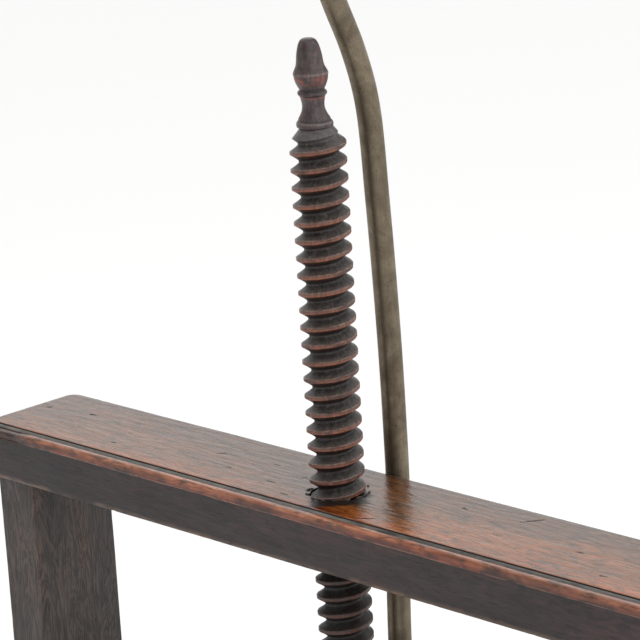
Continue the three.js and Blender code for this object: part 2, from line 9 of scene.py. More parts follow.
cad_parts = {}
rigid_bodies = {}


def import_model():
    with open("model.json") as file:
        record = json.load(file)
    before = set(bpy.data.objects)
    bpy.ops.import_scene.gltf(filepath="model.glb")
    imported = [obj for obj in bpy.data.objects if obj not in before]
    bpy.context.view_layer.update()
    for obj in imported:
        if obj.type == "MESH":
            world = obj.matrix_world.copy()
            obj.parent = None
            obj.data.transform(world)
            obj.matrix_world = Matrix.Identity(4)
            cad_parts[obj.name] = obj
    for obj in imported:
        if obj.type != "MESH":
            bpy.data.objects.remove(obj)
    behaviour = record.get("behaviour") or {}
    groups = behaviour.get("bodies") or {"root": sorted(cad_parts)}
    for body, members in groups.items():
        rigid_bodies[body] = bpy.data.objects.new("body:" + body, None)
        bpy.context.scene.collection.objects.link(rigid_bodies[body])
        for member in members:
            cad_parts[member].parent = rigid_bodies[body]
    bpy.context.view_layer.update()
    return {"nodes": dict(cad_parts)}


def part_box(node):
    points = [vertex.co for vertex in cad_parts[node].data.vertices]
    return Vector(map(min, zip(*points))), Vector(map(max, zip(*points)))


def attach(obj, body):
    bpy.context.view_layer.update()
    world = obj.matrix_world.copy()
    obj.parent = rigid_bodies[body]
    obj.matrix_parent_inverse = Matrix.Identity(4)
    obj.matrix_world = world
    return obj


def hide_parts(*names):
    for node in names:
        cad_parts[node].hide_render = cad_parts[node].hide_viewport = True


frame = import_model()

MM = 0.001

# The thread, as the CAD cuts it
PITCH = 11 * MM
CREST_RADIUS = 17.6 * MM
ROOT_RADIUS = 12.2 * MM
CREST_LAND = 2.3 * MM
ROOT_LAND = 1.2 * MM
CREST_AZIMUTH = math.radians(-43.6)
THREAD_TOP_OVER_BEAM = 231.5 * MM

# The level direction from the front left to the back right. The finial leans against it, and the
# grime, with the screw's painted reflection, lies at right angles to it.
ACROSS_X, ACROSS_Y = 0.69, 0.724
FINIAL_HEIGHT = 62 * MM
FINIAL_OFFSET = 0.8 * MM
FINIAL_SLOPE = 0.026

# Cut and broken wood, painted near-black as painted shade in holes, slots and chips, in linear colour
CUT_WOOD_IN_SHADE = (0.02, 0.013, 0.01)

# The posts' lower tenons and their mortises
TENON_X = 284 * MM
TENON_HALF_X, TENON_HALF_Y = 10 * MM, 25 * MM
MORTISE_HALF_X, MORTISE_HALF_Y = 10.3 * MM, 25.3 * MM

# The moulded edge of the beam and the base board: (distance behind the front, drop from the top,
# corner radius) of each corner of the bead and its quirk, in millimetres
MOULDING = [
    (0.7, 7.1, 0.0), (0.7, 6.75, 0.1), (0.0, 6.45, 0.4), (0.0, 5.6, 0.0), (0.0, 0.1, 3.4), (4.7, 0.1, 1.8),
    (6.7, 1.5, 0.5), (6.95, 2.1, 0.1), (7.15, 2.2, 0.1), (7.4, 1.55, 0.15), (10.0, 0.5, 0.25),
    (10.25, 2.0, 0.1), (10.55, 2.0, 0.1), (10.8, 0.0, 0.6),
]
BEAD_END = 7.0 * MM
BAND_END = 10.1 * MM
BEAD_DROP = 6.5 * MM
BEAD_PROUD = 0.7 * MM

BEAM_LOW, BEAM_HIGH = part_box("top_beam")
BEAM_TOP = BEAM_HIGH.z
SCREW_LOW, SCREW_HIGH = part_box("press_screw")


def add_to_scene(name, data):
    obj = bpy.data.objects.new(name, data)
    bpy.context.scene.collection.objects.link(obj)
    return obj


# ---------------------------------------------------------------- camera, light, floor
def add_camera():
    """A long lens that looks down at the beam and the screw from the front right."""
    azimuth = math.radians(46.37)
    elevation = math.radians(15.23)
    roll = math.radians(-3.39)
    distance = 1.8791
    back = Vector((math.sin(azimuth) * math.cos(elevation),
                   -math.cos(azimuth) * math.cos(elevation),
                   math.sin(elevation)))
    level_right = Vector((math.cos(azimuth), math.sin(azimuth), 0))
    level_up = back.cross(level_right)
    right = level_right * math.cos(roll) + level_up * math.sin(roll)
    up = back.cross(right)
    target = Vector((0, 0, BEAM_TOP)) - right * 11.3 * MM + up * 107 * MM
    data = bpy.data.cameras.new("camera")
    data.lens = 168.75
    data.sensor_width = 36
    data.clip_start = 0.05
    data.clip_end = 100
    camera = add_to_scene("camera", data)
    turn = Matrix((right, up, back)).transposed().to_4x4()
    camera.matrix_world = Matrix.Translation(target + back * distance) @ turn
    bpy.context.scene.camera = camera


def area_light(name, place, target, size, power):
    data = bpy.data.lights.new(name, "AREA")
    data.shape = "RECTANGLE"
    data.size, data.size_y = size
    data.energy = power
    light = add_to_scene(name, data)
    light.location = place
    light.rotation_euler = (Vector(target) - Vector(place)).to_track_quat("-Z", "Y").to_euler()
    light.visible_camera = False


def add_studio():
    """A white sweep, brightest behind, above and to the right, and dimmer in front."""
    scene = bpy.context.scene
    scene.view_settings.view_transform = "Standard"
    world = bpy.data.worlds.new("studio")
    scene.world = world
    world.use_nodes = True
    tree = world.node_tree
    tree.nodes.clear()
    coords = tree.nodes.new("ShaderNodeTexCoord")
    towards_back = tree.nodes.new("ShaderNodeVectorMath")
    towards_back.operation = "DOT_PRODUCT"
    towards_back.inputs[1].default_value = (0.42, 0.8, 0.4)
    tree.links.new(coords.outputs["Generated"], towards_back.inputs[0])
    spread = tree.nodes.new("ShaderNodeMapRange")
    spread.interpolation_type = "SMOOTHSTEP"
    spread.inputs["From Min"].default_value = -0.6
    spread.inputs["From Max"].default_value = 0.5
    spread.inputs["To Min"].default_value = 0.72
    spread.inputs["To Max"].default_value = 1.55
    tree.links.new(towards_back.outputs["Value"], spread.inputs["Value"])
    soft = tree.nodes.new("ShaderNodeBackground")
    tree.links.new(spread.outputs["Result"], soft.inputs["Strength"])
    plain = tree.nodes.new("ShaderNodeBackground")
    plain.inputs["Color"].default_value = (0.98, 0.98, 0.98, 1)
    rays = tree.nodes.new("ShaderNodeLightPath")
    mix = tree.nodes.new("ShaderNodeMixShader")
    tree.links.new(rays.outputs["Is Camera Ray"], mix.inputs["Fac"])
    tree.links.new(soft.outputs[0], mix.inputs[1])
    tree.links.new(plain.outputs[0], mix.inputs[2])
    output = tree.nodes.new("ShaderNodeOutputWorld")
    tree.links.new(mix.outputs[0], output.inputs["Surface"])
    area_light("top_softbox", (-0.5, 0.5, 2.4), (0, 0, 0.35), (1.8, 1.8), 7)
    area_light("right_softbox", (2.2, -0.5, 1.3), (0, 0, 0.45), (0.9, 1.4), 7)


def add_floor():
    mesh = bpy.data.meshes.new("floor")
    side, level = 12, -0.0002
    corners = [(-side, -side), (side, -side), (side, side), (-side, side)]
    mesh.from_pydata([(x, y, level) for x, y in corners], [], [(0, 1, 2, 3)])
    floor = add_to_scene("floor", mesh)
    material = bpy.data.materials.new("pale_floor")
    material.use_nodes = True
    shader = material.node_tree.nodes["Principled BSDF"]
    shader.inputs["Base Color"].default_value = (0.9, 0.9, 0.895, 1)
    shader.inputs["Roughness"].default_value = 0.9
    mesh.materials.append(material)


# ---------------------------------------------------------------- colour and noise helpers
def linear(r, g, b):
    """Linear colour from 0-255 display values."""
    def one(v):
        v = v / 255
        return v / 12.92 if v <= 0.04045 else ((v + 0.055) / 1.055) ** 2.4
    return np.array([one(r), one(g), one(b)])


def unit(value):
    """The value, kept between 0 and 1."""
    return np.clip(value, 0, 1)


def smoothstep(low, high, value):
    t = unit((value - low) / (high - low))
    return t * t * (3 - 2 * t)


def fractal(points, scale, seed, octaves=3):
    """Noise of about -1 to 1 at each point. scale is a size in metres, or one for each axis."""
    scaled = np.asarray(points) / np.asarray(scale)
    offset = Vector((seed * 17.31, seed * 5.77, seed * 9.13))
    values = [noise.fractal(Vector(p) + offset, 1.0, 2.0, octaves) for p in scaled]
    return np.clip(np.array(values), -1.5, 1.5)


def mix(a, b, share):
    share = np.asarray(share)[..., None]
    return a * (1 - share) + b * share


# ---------------------------------------------------------------- mesh helpers
def make_object(name, vertices, faces, sharp_angle=35):
    mesh = bpy.data.meshes.new(name)
    mesh.from_pydata([tuple(v) for v in vertices], [], [tuple(f) for f in faces])
    mesh.update()
    tidy = bmesh.new()
    tidy.from_mesh(mesh)
    bmesh.ops.recalc_face_normals(tidy, faces=tidy.faces)
    tidy.to_mesh(mesh)
    tidy.free()
    smooth(mesh, sharp_angle)
    return add_to_scene(name, mesh)


def smooth(mesh, sharp_angle=35):
    mesh.polygons.foreach_set("use_smooth", [True] * len(mesh.polygons))
    mesh.set_sharp_from_angle(angle=math.radians(sharp_angle))


def grid_faces(rings, points, closed=True):
    """Quads between rings of points."""
    ring = np.arange(rings - 1)[:, None]
    count = points if closed else points - 1
    k = np.arange(count)[None, :]
    nxt = (k + 1) % points
    a = ring * points + k
    b = ring * points + nxt
    faces = np.stack([a, b, b + points, a + points], axis=-1)
    return faces.reshape(-1, 4).tolist()


def positions(obj):
    co = np.empty(len(obj.data.vertices) * 3, np.float32)
    obj.data.vertices.foreach_get("co", co)
    return co.reshape(-1, 3).astype(float)


def normals(obj):
    values = np.empty(len(obj.data.vertices) * 3, np.float32)
    obj.data.vertex_normals.foreach_get("vector", values)
    return values.reshape(-1, 3).astype(float)


def move_to(obj, points):
    obj.data.vertices.foreach_set("co", np.asarray(points, np.float32).ravel())
    obj.data.update()


def paint(obj, colour, dull):
    """Base colour and dullness for each vertex, which the wood and metal materials read."""
    mesh = obj.data
    count = len(mesh.vertices)
    colour = np.broadcast_to(np.asarray(colour, float), (count, 3))
    dull = np.broadcast_to(np.asarray(dull, float), (count,))
    tint = mesh.color_attributes.new("tint", "FLOAT_COLOR", "POINT")
    rgba = np.concatenate([unit(colour), np.ones((count, 1))], axis=1)
    tint.data.foreach_set("color", rgba.astype(np.float32).ravel())
    flat = mesh.attributes.new("dull", "FLOAT", "POINT")
    flat.data.foreach_set("value", dull.astype(np.float32))


def cut(obj, *cutters):
    """Takes the cutters out of obj and removes them."""
    for cutter in cutters:
        modifier = obj.modifiers.new("cut", "BOOLEAN")
        modifier.operation = "DIFFERENCE"
        modifier.solver = "MANIFOLD"
        modifier.object = cutter
    bpy.context.view_layer.update()
    evaluated = obj.evaluated_get(bpy.context.evaluated_depsgraph_get())
    result = bpy.data.meshes.new_from_object(evaluated)
    obj.modifiers.clear()
    old = obj.data
    obj.data = result
    result.name = old.name
    bpy.data.meshes.remove(old)
    for cutter in cutters:
        bpy.data.objects.remove(cutter)
    heal(result)
    smooth(result)
    return obj


def heal(mesh):
    """Colours the white vertices that a cut makes like the ones beside them."""
    if "tint" not in mesh.attributes:
        return
    colour = np.empty(len(mesh.vertices) * 4, dtype=np.float32)
    dull = np.empty(len(mesh.vertices), dtype=np.float32)
    mesh.attributes["tint"].data.foreach_get("color", colour)
    mesh.attributes["dull"].data.foreach_get("value", dull)
    values = np.column_stack([colour.reshape(-1, 4), dull])
    edges = np.empty(len(mesh.edges) * 2, dtype=np.int32)
    mesh.edges.foreach_get("vertices", edges)
    edges = edges.reshape(-1, 2)
    unset = values[:, :3].min(axis=1) > 0.99
    while unset.any():
        total = np.zeros_like(values)
        count = np.zeros(len(values))
        for to, other in ((0, 1), (1, 0)):
            known = edges[~unset[edges[:, other]]]
            np.add.at(total, known[:, to], values[known[:, other]])
            np.add.at(count, known[:, to], 1)
        ready = unset & (count > 0)
        if not ready.any():
            break
        values[ready] = total[ready] / count[ready, None]
        unset[ready] = False
    mesh.attributes["tint"].data.foreach_set("color", values[:, :4].ravel())
    mesh.attributes["dull"].data.foreach_set("value", values[:, 4].copy())


def raw(cutter, colour=CUT_WOOD_IN_SHADE, dull=0.9):
    """Colours a cutter: the surface it leaves takes its colour."""
    paint(cutter, colour, dull)
    return cutter


def block(low, high):
    """A box used only as a cutter."""
    x0, y0, z0 = low
    x1, y1, z1 = high
    vertices = [(x, y, z) for x in (x0, x1) for y in (y0, y1) for z in (z0, z1)]
    faces = [(0, 1, 3, 2), (4, 6, 7, 5), (0, 4, 5, 1), (2, 3, 7, 6), (0, 2, 6, 4), (1, 5, 7, 3)]
    return raw(make_object("cutter", vertices, faces))


def drill(start, end, radius, sides=40):
    """A round bar used only as a cutter."""
    start, end = Vector(start), Vector(end)
    turn = (end - start).to_track_quat("Z", "Y").to_matrix().to_4x4()
    length = (end - start).length
    bar = revolve("cutter", [(0, 0), (radius, 0), (radius, length), (0, length)], sides)
    bar.data.transform(Matrix.Translation(start) @ turn)
    return raw(bar)


def rectangle(low, high, radius, step):
    """The outline of a rectangle with rounded corners, between two (x, y) corners."""
    corners = [(low[0], low[1]), (high[0], low[1]), (high[0], high[1]), (low[0], high[1])]
    return rounded([(x, y, radius) for x, y in corners], step)


def rounded(corners, step):
    """A closed 2-D outline with rounded corners. corners are (u, v, radius), and a radius of 0
    keeps the corner as one point."""
    corners = [(Vector((u, v)), radius) for u, v, radius in corners]
    arcs = []
    for i, (here, radius) in enumerate(corners):
        if radius == 0:
            arcs.append((here, here, here, 0))
            continue
        before, after = corners[i - 1][0], corners[(i + 1) % len(corners)][0]
        to_before = (before - here).normalized()
        to_after = (after - here).normalized()
        half = math.acos(max(-1, min(1, to_before.dot(to_after)))) / 2
        reach = min(radius / math.tan(half), 0.48 * min((before - here).length, (after - here).length))
        radius = reach * math.tan(half)
        centre = here + (to_before + to_after).normalized() * (radius / math.sin(half))
        arcs.append((here + to_before * reach, here + to_after * reach, centre, radius))
    points = []
    for i, (start, end, centre, radius) in enumerate(arcs):
        if radius > 0:
            first = math.atan2(start.y - centre.y, start.x - centre.x)
            last = math.atan2(end.y - centre.y, end.x - centre.x)
            turn = (last - first + math.pi) % (2 * math.pi) - math.pi
            pieces = max(2, int(4 * abs(turn) * radius / step) + 1, int(abs(turn) / 0.4))
            pieces = min(pieces, 8)
            for k in range(pieces + 1):
                angle = first + turn * k / pieces
                points.append(centre + Vector((math.cos(angle), math.sin(angle))) * radius)
        else:
            points.append(start)
        following = arcs[(i + 1) % len(arcs)][0]
        pieces = max(1, int((following - end).length / step))
        points += [end.lerp(following, k / pieces) for k in range(1, pieces)]
    return np.array([tuple(point) for point in points])


def swept_board(name, outline, axis, low, high, step, end_round=1.5 * MM):
    """Sweeps a closed outline along one axis, with softened ends. The outline's two coordinates
    are the other two axes in XYZ order."""
    middle = (outline.min(axis=0) + outline.max(axis=0)) / 2
    half_size = (outline.max(axis=0) - outline.min(axis=0)) / 2
    angles = np.linspace(0, math.pi / 2, 4)
    softened = [(end_round * (1 - math.sin(a)), end_round * (1 - math.cos(a))) for a in angles]
    softened.append((0.0, end_round + 1.2 * MM))
    inner = np.arange(low + end_round, high - end_round, step)
    stations = [(low + along, inset) for along, inset in softened[::-1]]
    stations += [(along, 0.0) for along in inner[1:]]
    stations += [(high - along, inset) for along, inset in softened]
    others = [i for i in range(3) if i != axis]
    rings = []
    for along, inset in stations:
        ring = np.zeros((len(outline), 3))
        ring[:, axis] = along
        ring[:, others] = middle + (outline - middle) * (1 - inset / half_size)
        rings.append(ring)
    count = len(outline)
    faces = grid_faces(len(rings), count)
    faces.append(list(range(count))[::-1])
    faces.append([(len(rings) - 1) * count + i for i in range(count)])
    return make_object(name, np.concatenate(rings), faces)


def revolve(name, profile, sides=72, centre=(0, 0, 0), axis=2):
    """Turns a profile of (radius, height) about an axis through centre. A profile that starts and
    ends on the axis gives a solid, and any other is closed into a ring."""
    profile = np.asarray(profile, float)
    angles = np.arange(sides) * 2 * math.pi / sides
    open_ends = profile[0, 0] < 1e-7 and profile[-1, 0] < 1e-7
    body = profile[1:-1] if open_ends else profile
    rings = np.zeros((len(body), sides, 3))
    rings[:, :, 0] = body[:, 0, None] * np.cos(angles)
    rings[:, :, 1] = body[:, 0, None] * np.sin(angles)
    rings[:, :, 2] = body[:, 1, None]
    vertices = rings.reshape(-1, 3)
    faces = grid_faces(len(body), sides)
    if open_ends:
        first = len(vertices)
        vertices = np.vstack([vertices, [0, 0, profile[0, 1]], [0, 0, profile[-1, 1]]])
        last_ring = (len(body) - 1) * sides
        for k in range(sides):
            nxt = (k + 1) % sides
            faces.append((first, nxt, k))
            faces.append((first + 1, last_ring + k, last_ring + nxt))
    else:
        last_ring = (len(body) - 1) * sides
        for k in range(sides):
            nxt = (k + 1) % sides
            faces.append((last_ring + k, last_ring + nxt, nxt, k))
    order = {0: [2, 0, 1], 1: [1, 2, 0], 2: [0, 1, 2]}[axis]
    return make_object(name, vertices[:, order] + np.array(centre), faces)


def eased(points, step, passes):
    """A finer copy of a profile with its corners eased a little."""
    points = np.asarray(points, float)
    fine = [points[0]]
    for a, b in zip(points[:-1], points[1:]):
        pieces = max(1, int(round(np.linalg.norm(b - a) / step)))
        fine += [a + (b - a) * k / pieces for k in range(1, pieces + 1)]
    fine = np.array(fine)
    for _ in range(passes):
        fine[1:-1] = (fine[:-2] + 2 * fine[1:-1] + fine[2:]) / 4
    return fine


# ---------------------------------------------------------------- materials
class Nodes:
    """Short names for building a node tree."""

    def __init__(self, name):
        self.material = bpy.data.materials.new(name)
        self.material.use_nodes = True
        self.tree = self.material.node_tree
        self.shader = self.tree.nodes["Principled BSDF"]

    def new(self, kind, **inputs):
        node = self.tree.nodes.new("ShaderNode" + kind)
        for key, value in inputs.items():
            self.put(node, key.replace("_", " "), value)
        return node

    def put(self, node, key, value):
        socket = node.inputs[key]
        if isinstance(value, bpy.types.NodeSocket):
            self.tree.links.new(value, socket)
        else:
            socket.default_value = value

    def place(self, stretch):
        """Object coordinates, scaled per axis."""
        coords = self.new("TexCoord")
        mapping = self.new("Mapping", Vector=coords.outputs["Object"])
        mapping.inputs["Scale"].default_value = stretch
        return mapping.outputs[0]

    def noise(self, vector, scale, detail=4.0, roughness=0.55, distortion=0.0):
        node = self.new("TexNoise", Vector=vector, Scale=scale, Detail=detail,
                        Roughness=roughness, Distortion=distortion)
        return node.outputs["Fac"]

    def math(self, operation, a, b):
        node = self.new("Math")
        node.operation = operation
        self.put(node, 0, a)
        self.put(node, 1, b)
        return node.outputs[0]

    def times(self, a, b):
        return self.math("MULTIPLY", a, b)

    def plus(self, a, b):
        return self.math("ADD", a, b)

    def spread(self, value, low, high, to_low=0.0, to_high=1.0):
        node = self.new("MapRange", Value=value, From_Min=low, From_Max=high,
                        To_Min=to_low, To_Max=to_high)
        return node.outputs["Result"]

    def blend(self, share, a, b, mode="MIX"):
        node = self.new("Mix")
        node.data_type = "RGBA"
        node.blend_type = mode
        self.put(node, 0, share)
        self.put(node, 6, a)
        self.put(node, 7, b)
        return node.outputs[2]

    def filtered(self, share, colour, factor):
        """The colour, multiplied by factor as far as share says."""
        return self.blend(share, colour, self.blend(1.0, colour, rgba(factor), "MULTIPLY"))

    def grey(self, value):
        node = self.new("CombineColor", Red=value, Green=value, Blue=value)
        return node.outputs[0]

    def attribute(self, name, output="Fac"):
        node = self.new("Attribute")
        node.attribute_name = name
        return node.outputs[output]

    def bump(self, height, distance, strength=1.0, normal=None):
        node = self.new("Bump", Height=height)
        node.inputs["Distance"].default_value = distance
        node.inputs["Strength"].default_value = strength
        if normal is not None:
            self.tree.links.new(normal, node.inputs["Normal"])
        return node.outputs[0]

    def finish(self, **inputs):
        for key, value in inputs.items():
            self.put(self.shader, key.replace("_", " "), value)
        return self.material


def rgba(colour):
    return (*[float(c) for c in colour], 1.0)


def along(axis, share):
    """A scale of 1 per axis, and share on one axis."""
    scale = [1.0, 1.0, 1.0]
    scale[axis] = share
    return scale


def wood_material(name, axis, gloss, tint=None, figure=0.5, pores=0.5, red=0.35,
                  rough_grain=0.0, mottle=0.3, streak=1.0):
    """Grain along one axis, over a painted tint or one plain tint."""
    n = Nodes(name)
    grain_space = n.place(along(axis, 0.045))
    wave_space = n.place(along(axis, 0.16))
    dab_space = n.place(along(axis, 0.36))
    base = n.attribute("tint", "Color") if tint is None else n.blend(0.0, rgba(tint), rgba(tint))
    dull = n.attribute("dull") if tint is None else 0.25
    streaks = n.noise(grain_space, 620.0, 6.0, 0.62, 0.3 + 0.7 * max(0.0, figure - 0.5))
    fibres = n.noise(grain_space, 2100.0, 3.0, 0.6)
    clouds = n.noise(wave_space, 26.0, 3.0, 0.5, 0.6)
    rings = n.noise(wave_space, 95.0, 2.0, 0.5, 1.4 + 1.6 * figure)
    band = n.math("PINGPONG", n.times(rings, 7.0), 1.0)
    shade = n.spread(streaks, 0.3, 0.72, 1 - 0.38 * streak, 1 + 0.32 * streak)
    shade = n.times(shade, n.spread(fibres, 0.3, 0.7, 0.86, 1.12))
    shade = n.times(shade, n.spread(band, 0.0, 1.0, 1.0 - 0.3 * figure, 1.0 + 0.16 * figure))
    shade = n.times(shade, n.spread(clouds, 0.3, 0.7, 0.78, 1.18))
    tooling = n.noise(n.place((1, 1, 1)), 900.0, 4.0, 0.75)
    specks = n.times(n.spread(tooling, 0.36, 0.66, -rough_grain, rough_grain), n.times(dull, 2.4))
    shade = n.times(shade, n.plus(specks, 1.0))
    colour = n.blend(1.0, base, n.grey(shade), "MULTIPLY")
    redness = n.spread(n.noise(wave_space, 55.0, 3.0, 0.6), 0.42, 0.66)
    colour = n.filtered(n.times(redness, red), colour, (1.24, 0.97, 0.74))
    dabs = n.spread(n.noise(dab_space, 210.0, 5.0, 0.66, 0.5), 0.5, 0.6)
    colour = n.filtered(n.times(dabs, mottle), colour, (0.4, 0.48, 0.54))
    ticks = n.times(n.spread(n.noise(grain_space, 1500.0, 2.0, 0.5), 0.62, 0.7), pores)
    colour = n.filtered(ticks, colour, (0.35, 0.33, 0.32))
    smear = n.noise(wave_space, 140.0, 4.0, 0.6)
    roughness = n.plus(gloss, n.times(dull, 0.42))
    roughness = n.plus(roughness, n.spread(smear, 0.3, 0.7, -0.05, 0.07))
    roughness = n.plus(roughness, n.times(ticks, 0.2))
    dents = n.noise(wave_space, 190.0, 3.0, 0.55)
    height = n.plus(n.times(streaks, 0.55), n.times(fibres, 0.25))
    height = n.math("SUBTRACT", height, n.times(ticks, 0.5))
    height = n.plus(height, n.times(tooling, 2.5 * rough_grain))
    height = n.plus(height, n.times(band, 0.7 * figure))
    normal = n.bump(dents, 0.0012, 0.35)
    normal = n.bump(height, 0.00022, 0.8, normal)
    return n.finish(Base_Color=colour, Roughness=roughness, Normal=normal, IOR=1.5)


def metal_material(name, colour, dark, roughness, metallic=1.0):
    """Aged metal: mottled patina, fine lines along Z and small dark spots."""
    n = Nodes(name)
    even = n.place((1, 1, 1))
    lines = n.noise(n.place(along(2, 0.05)), 1500.0, 3.0, 0.6)
    clouds = n.noise(even, 42.0, 5.0, 0.62, 0.8)
    patches = n.noise(even, 170.0, 4.0, 0.6, 0.4)
    spots = n.times(n.spread(n.noise(even, 900.0, 2.0, 0.5), 0.62, 0.72), 0.6)
    base = n.blend(n.spread(clouds, 0.34, 0.68), rgba(dark), rgba(colour))
    base = n.filtered(n.spread(patches, 0.45, 0.75, 0.0, 0.5), base, (0.62, 0.6, 0.58))
    base = n.blend(1.0, base, n.grey(n.spread(lines, 0.3, 0.7, 0.86, 1.12)), "MULTIPLY")
    base = n.filtered(spots, base, (0.3, 0.27, 0.24))
    rough = n.plus(roughness, n.spread(clouds, 0.3, 0.7, 0.08, -0.06))
    rough = n.plus(rough, n.times(spots, 0.2))
    normal = n.bump(patches, 0.0003, 0.35)
    normal = n.bump(lines, 0.00006, 0.5, normal)
    return n.finish(Base_Color=base, Roughness=rough, Normal=normal, Metallic=metallic)


def moulded_material(name, colour, roughness, speck):
    """Moulded or glazed insulation with a faint mottle and an orange-peel surface."""
    n = Nodes(name)
    even = n.place((1, 1, 1))
    clouds = n.noise(even, 120.0, 4.0, 0.6)
    peel = n.noise(even, 1400.0, 2.0, 0.5)
    darker = rgba(np.array(colour) * (1 - speck))
    base = n.blend(n.spread(clouds, 0.35, 0.7), rgba(colour), darker)
    rough = n.plus(roughness, n.spread(clouds, 0.3, 0.7, -0.05, 0.08))
    normal = n.bump(peel, 0.00008, 0.6)
    return n.finish(Base_Color=base, Roughness=rough, Normal=normal, IOR=1.5)


MATERIALS = {
    "beam": wood_material("waxed_beam_wood", 0, 0.15, red=0.6, pores=0.7, mottle=0.9),
    "board": wood_material("board_wood", 0, 0.3),
    "post": wood_material("post_wood", 2, 0.36, figure=1.9, pores=0.5, red=0.2, streak=0.6),
    "turned": wood_material("turned_screw_wood", 2, 0.26, figure=0.1, pores=0.3, red=0.15,
                            rough_grain=0.55),
    "peg_z": wood_material("peg_wood", 2, 0.4, tint=linear(92, 60, 42)),
    "key": wood_material("key_wood", 1, 0.4, tint=linear(88, 58, 42)),
    "brass": metal_material("aged_brass", linear(135, 124, 106), linear(106, 96, 82), 0.46),
    "steel": metal_material("dark_steel", linear(92, 88, 84), linear(52, 47, 44), 0.42, 0.9),
    "porcelain": moulded_material("porcelain", linear(226, 220, 206), 0.2, 0.12),
    "black": moulded_material("black_insulation", linear(30, 28, 27), 0.38, 0.3),
}


def dress(obj, material, body, node):
    """Gives a new piece its material and body, and hides the CAD node that it stands for."""
    obj.data.materials.clear()
    obj.data.materials.append(MATERIALS[material])
    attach(obj, body)
    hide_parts(node)
    return obj


# ---------------------------------------------------------------- boards
def moulded_outline(front, back, bottom, top, step):
    """Section of the beam and the base board, from the bottom front corner round the top."""
    bead = [(front + y * MM, top - drop * MM, radius * MM) for y, drop, radius in MOULDING]
    corners = [(front + BEAD_PROUD, bottom, 1.1 * MM), *bead,
               (back, top, 1.8 * MM), (back, bottom, 1.1 * MM)]
    return rounded(corners, step)


def weather(obj, edge_wear, seed, waves=0.25 * MM, calm=0.0):
    """Small dents and a slightly uneven surface, stronger along the arrises, and never outwards.
    calm is how much each vertex is spared."""
    points = positions(obj)
    low, high = points.min(axis=0), points.max(axis=0)
    out = normals(obj)
    slow = (fractal(points, 0.06, seed, 2) - 1.2) * waves * 0.4
    fine = fractal(points, 0.009, seed + 1, 3)
    dents = np.minimum(fine + 0.25, 0) * edge_wear
    corner = 1 - np.abs(out).max(axis=1)
    strength = smoothstep(0.02, 0.25, corner)
    points += out * ((slow + dents * strength) * (1 - calm))[:, None]
    move_to(obj, np.clip(points, low, high))


def paint_board(obj, seed, dark, light, worn, stretch=(0.06, 0.012, 0.012), dull=0.5):
    """Old dark wood, patchy along the grain, and rubbed pale along its arrises."""
    points = positions(obj)
    patch = fractal(points, stretch, seed, 3)
    slow = fractal(points, np.array(stretch) * 3, seed + 1, 2)
    colour = mix(np.array(dark), np.array(light), unit(0.5 + slow * 0.8))
    colour = mix(colour, np.array(light) * (1.15, 0.9, 0.8), unit(patch * 0.7))
    corner = 1 - np.abs(normals(obj)).max(axis=1)
    arris = smoothstep(0.1, 0.28, corner) * smoothstep(-0.5, 0.3, patch)
    colour = mix(colour, np.array(worn), arris * 0.85)
    paint(obj, colour, dull - arris * 0.15)


def top_beam():
    front, back = BEAM_LOW.y, BEAM_HIGH.y
    bottom, top = BEAM_LOW.z, BEAM_HIGH.z
    outline = moulded_outline(front, back, bottom, top, 2.4 * MM)
    beam = swept_board("beam_top_rail", outline, 0, BEAM_LOW.x, BEAM_HIGH.x, 2.2 * MM)
    paint_beam(beam)
    points = positions(beam)
    x, y, z = points.T
    # the back left corner is rubbed round
    radius, rubbed_depth = 9 * MM, 30 * MM
    run = unit(1 - (x - BEAM_LOW.x) / radius)
    points[:, 1] -= radius * (1 - np.sqrt(1 - run ** 2)) * smoothstep(back - rubbed_depth, back, y)
    # the bead is split away near the left end
    on_bead = smoothstep(front + BEAD_END, front + 5 * MM, y)
    on_bead = on_bead * smoothstep(top - 7 * MM, top - 5 * MM, z)
    whole_from, split_to = 58 * MM, 34 * MM
    lost_height, lost_depth = 1.9, 1.4
    chip = smoothstep(BEAM_LOW.x + whole_from, BEAM_LOW.x + split_to, x) * on_bead
    points[:, 2] -= chip * lost_height * MM
    points[:, 1] += chip * lost_depth * MM
    move_to(beam, points)
    # the fine moulding next to the bead is left crisp
    crisp_from, crisp_to, crisp_depth = 5.5 * MM, 11.6 * MM, 3 * MM
    crisp = (y - front > crisp_from) & (y - front < crisp_to) & (top - z < crisp_depth)
    weather(beam, 0.5 * MM, 3, calm=crisp)
    cut(beam, nut_cutter(), *mouth_chips(), *gouges())
    join_objects("beam_top_rail", beam, *splinters())
    return dress(beam, "beam", "frame", "top_beam")


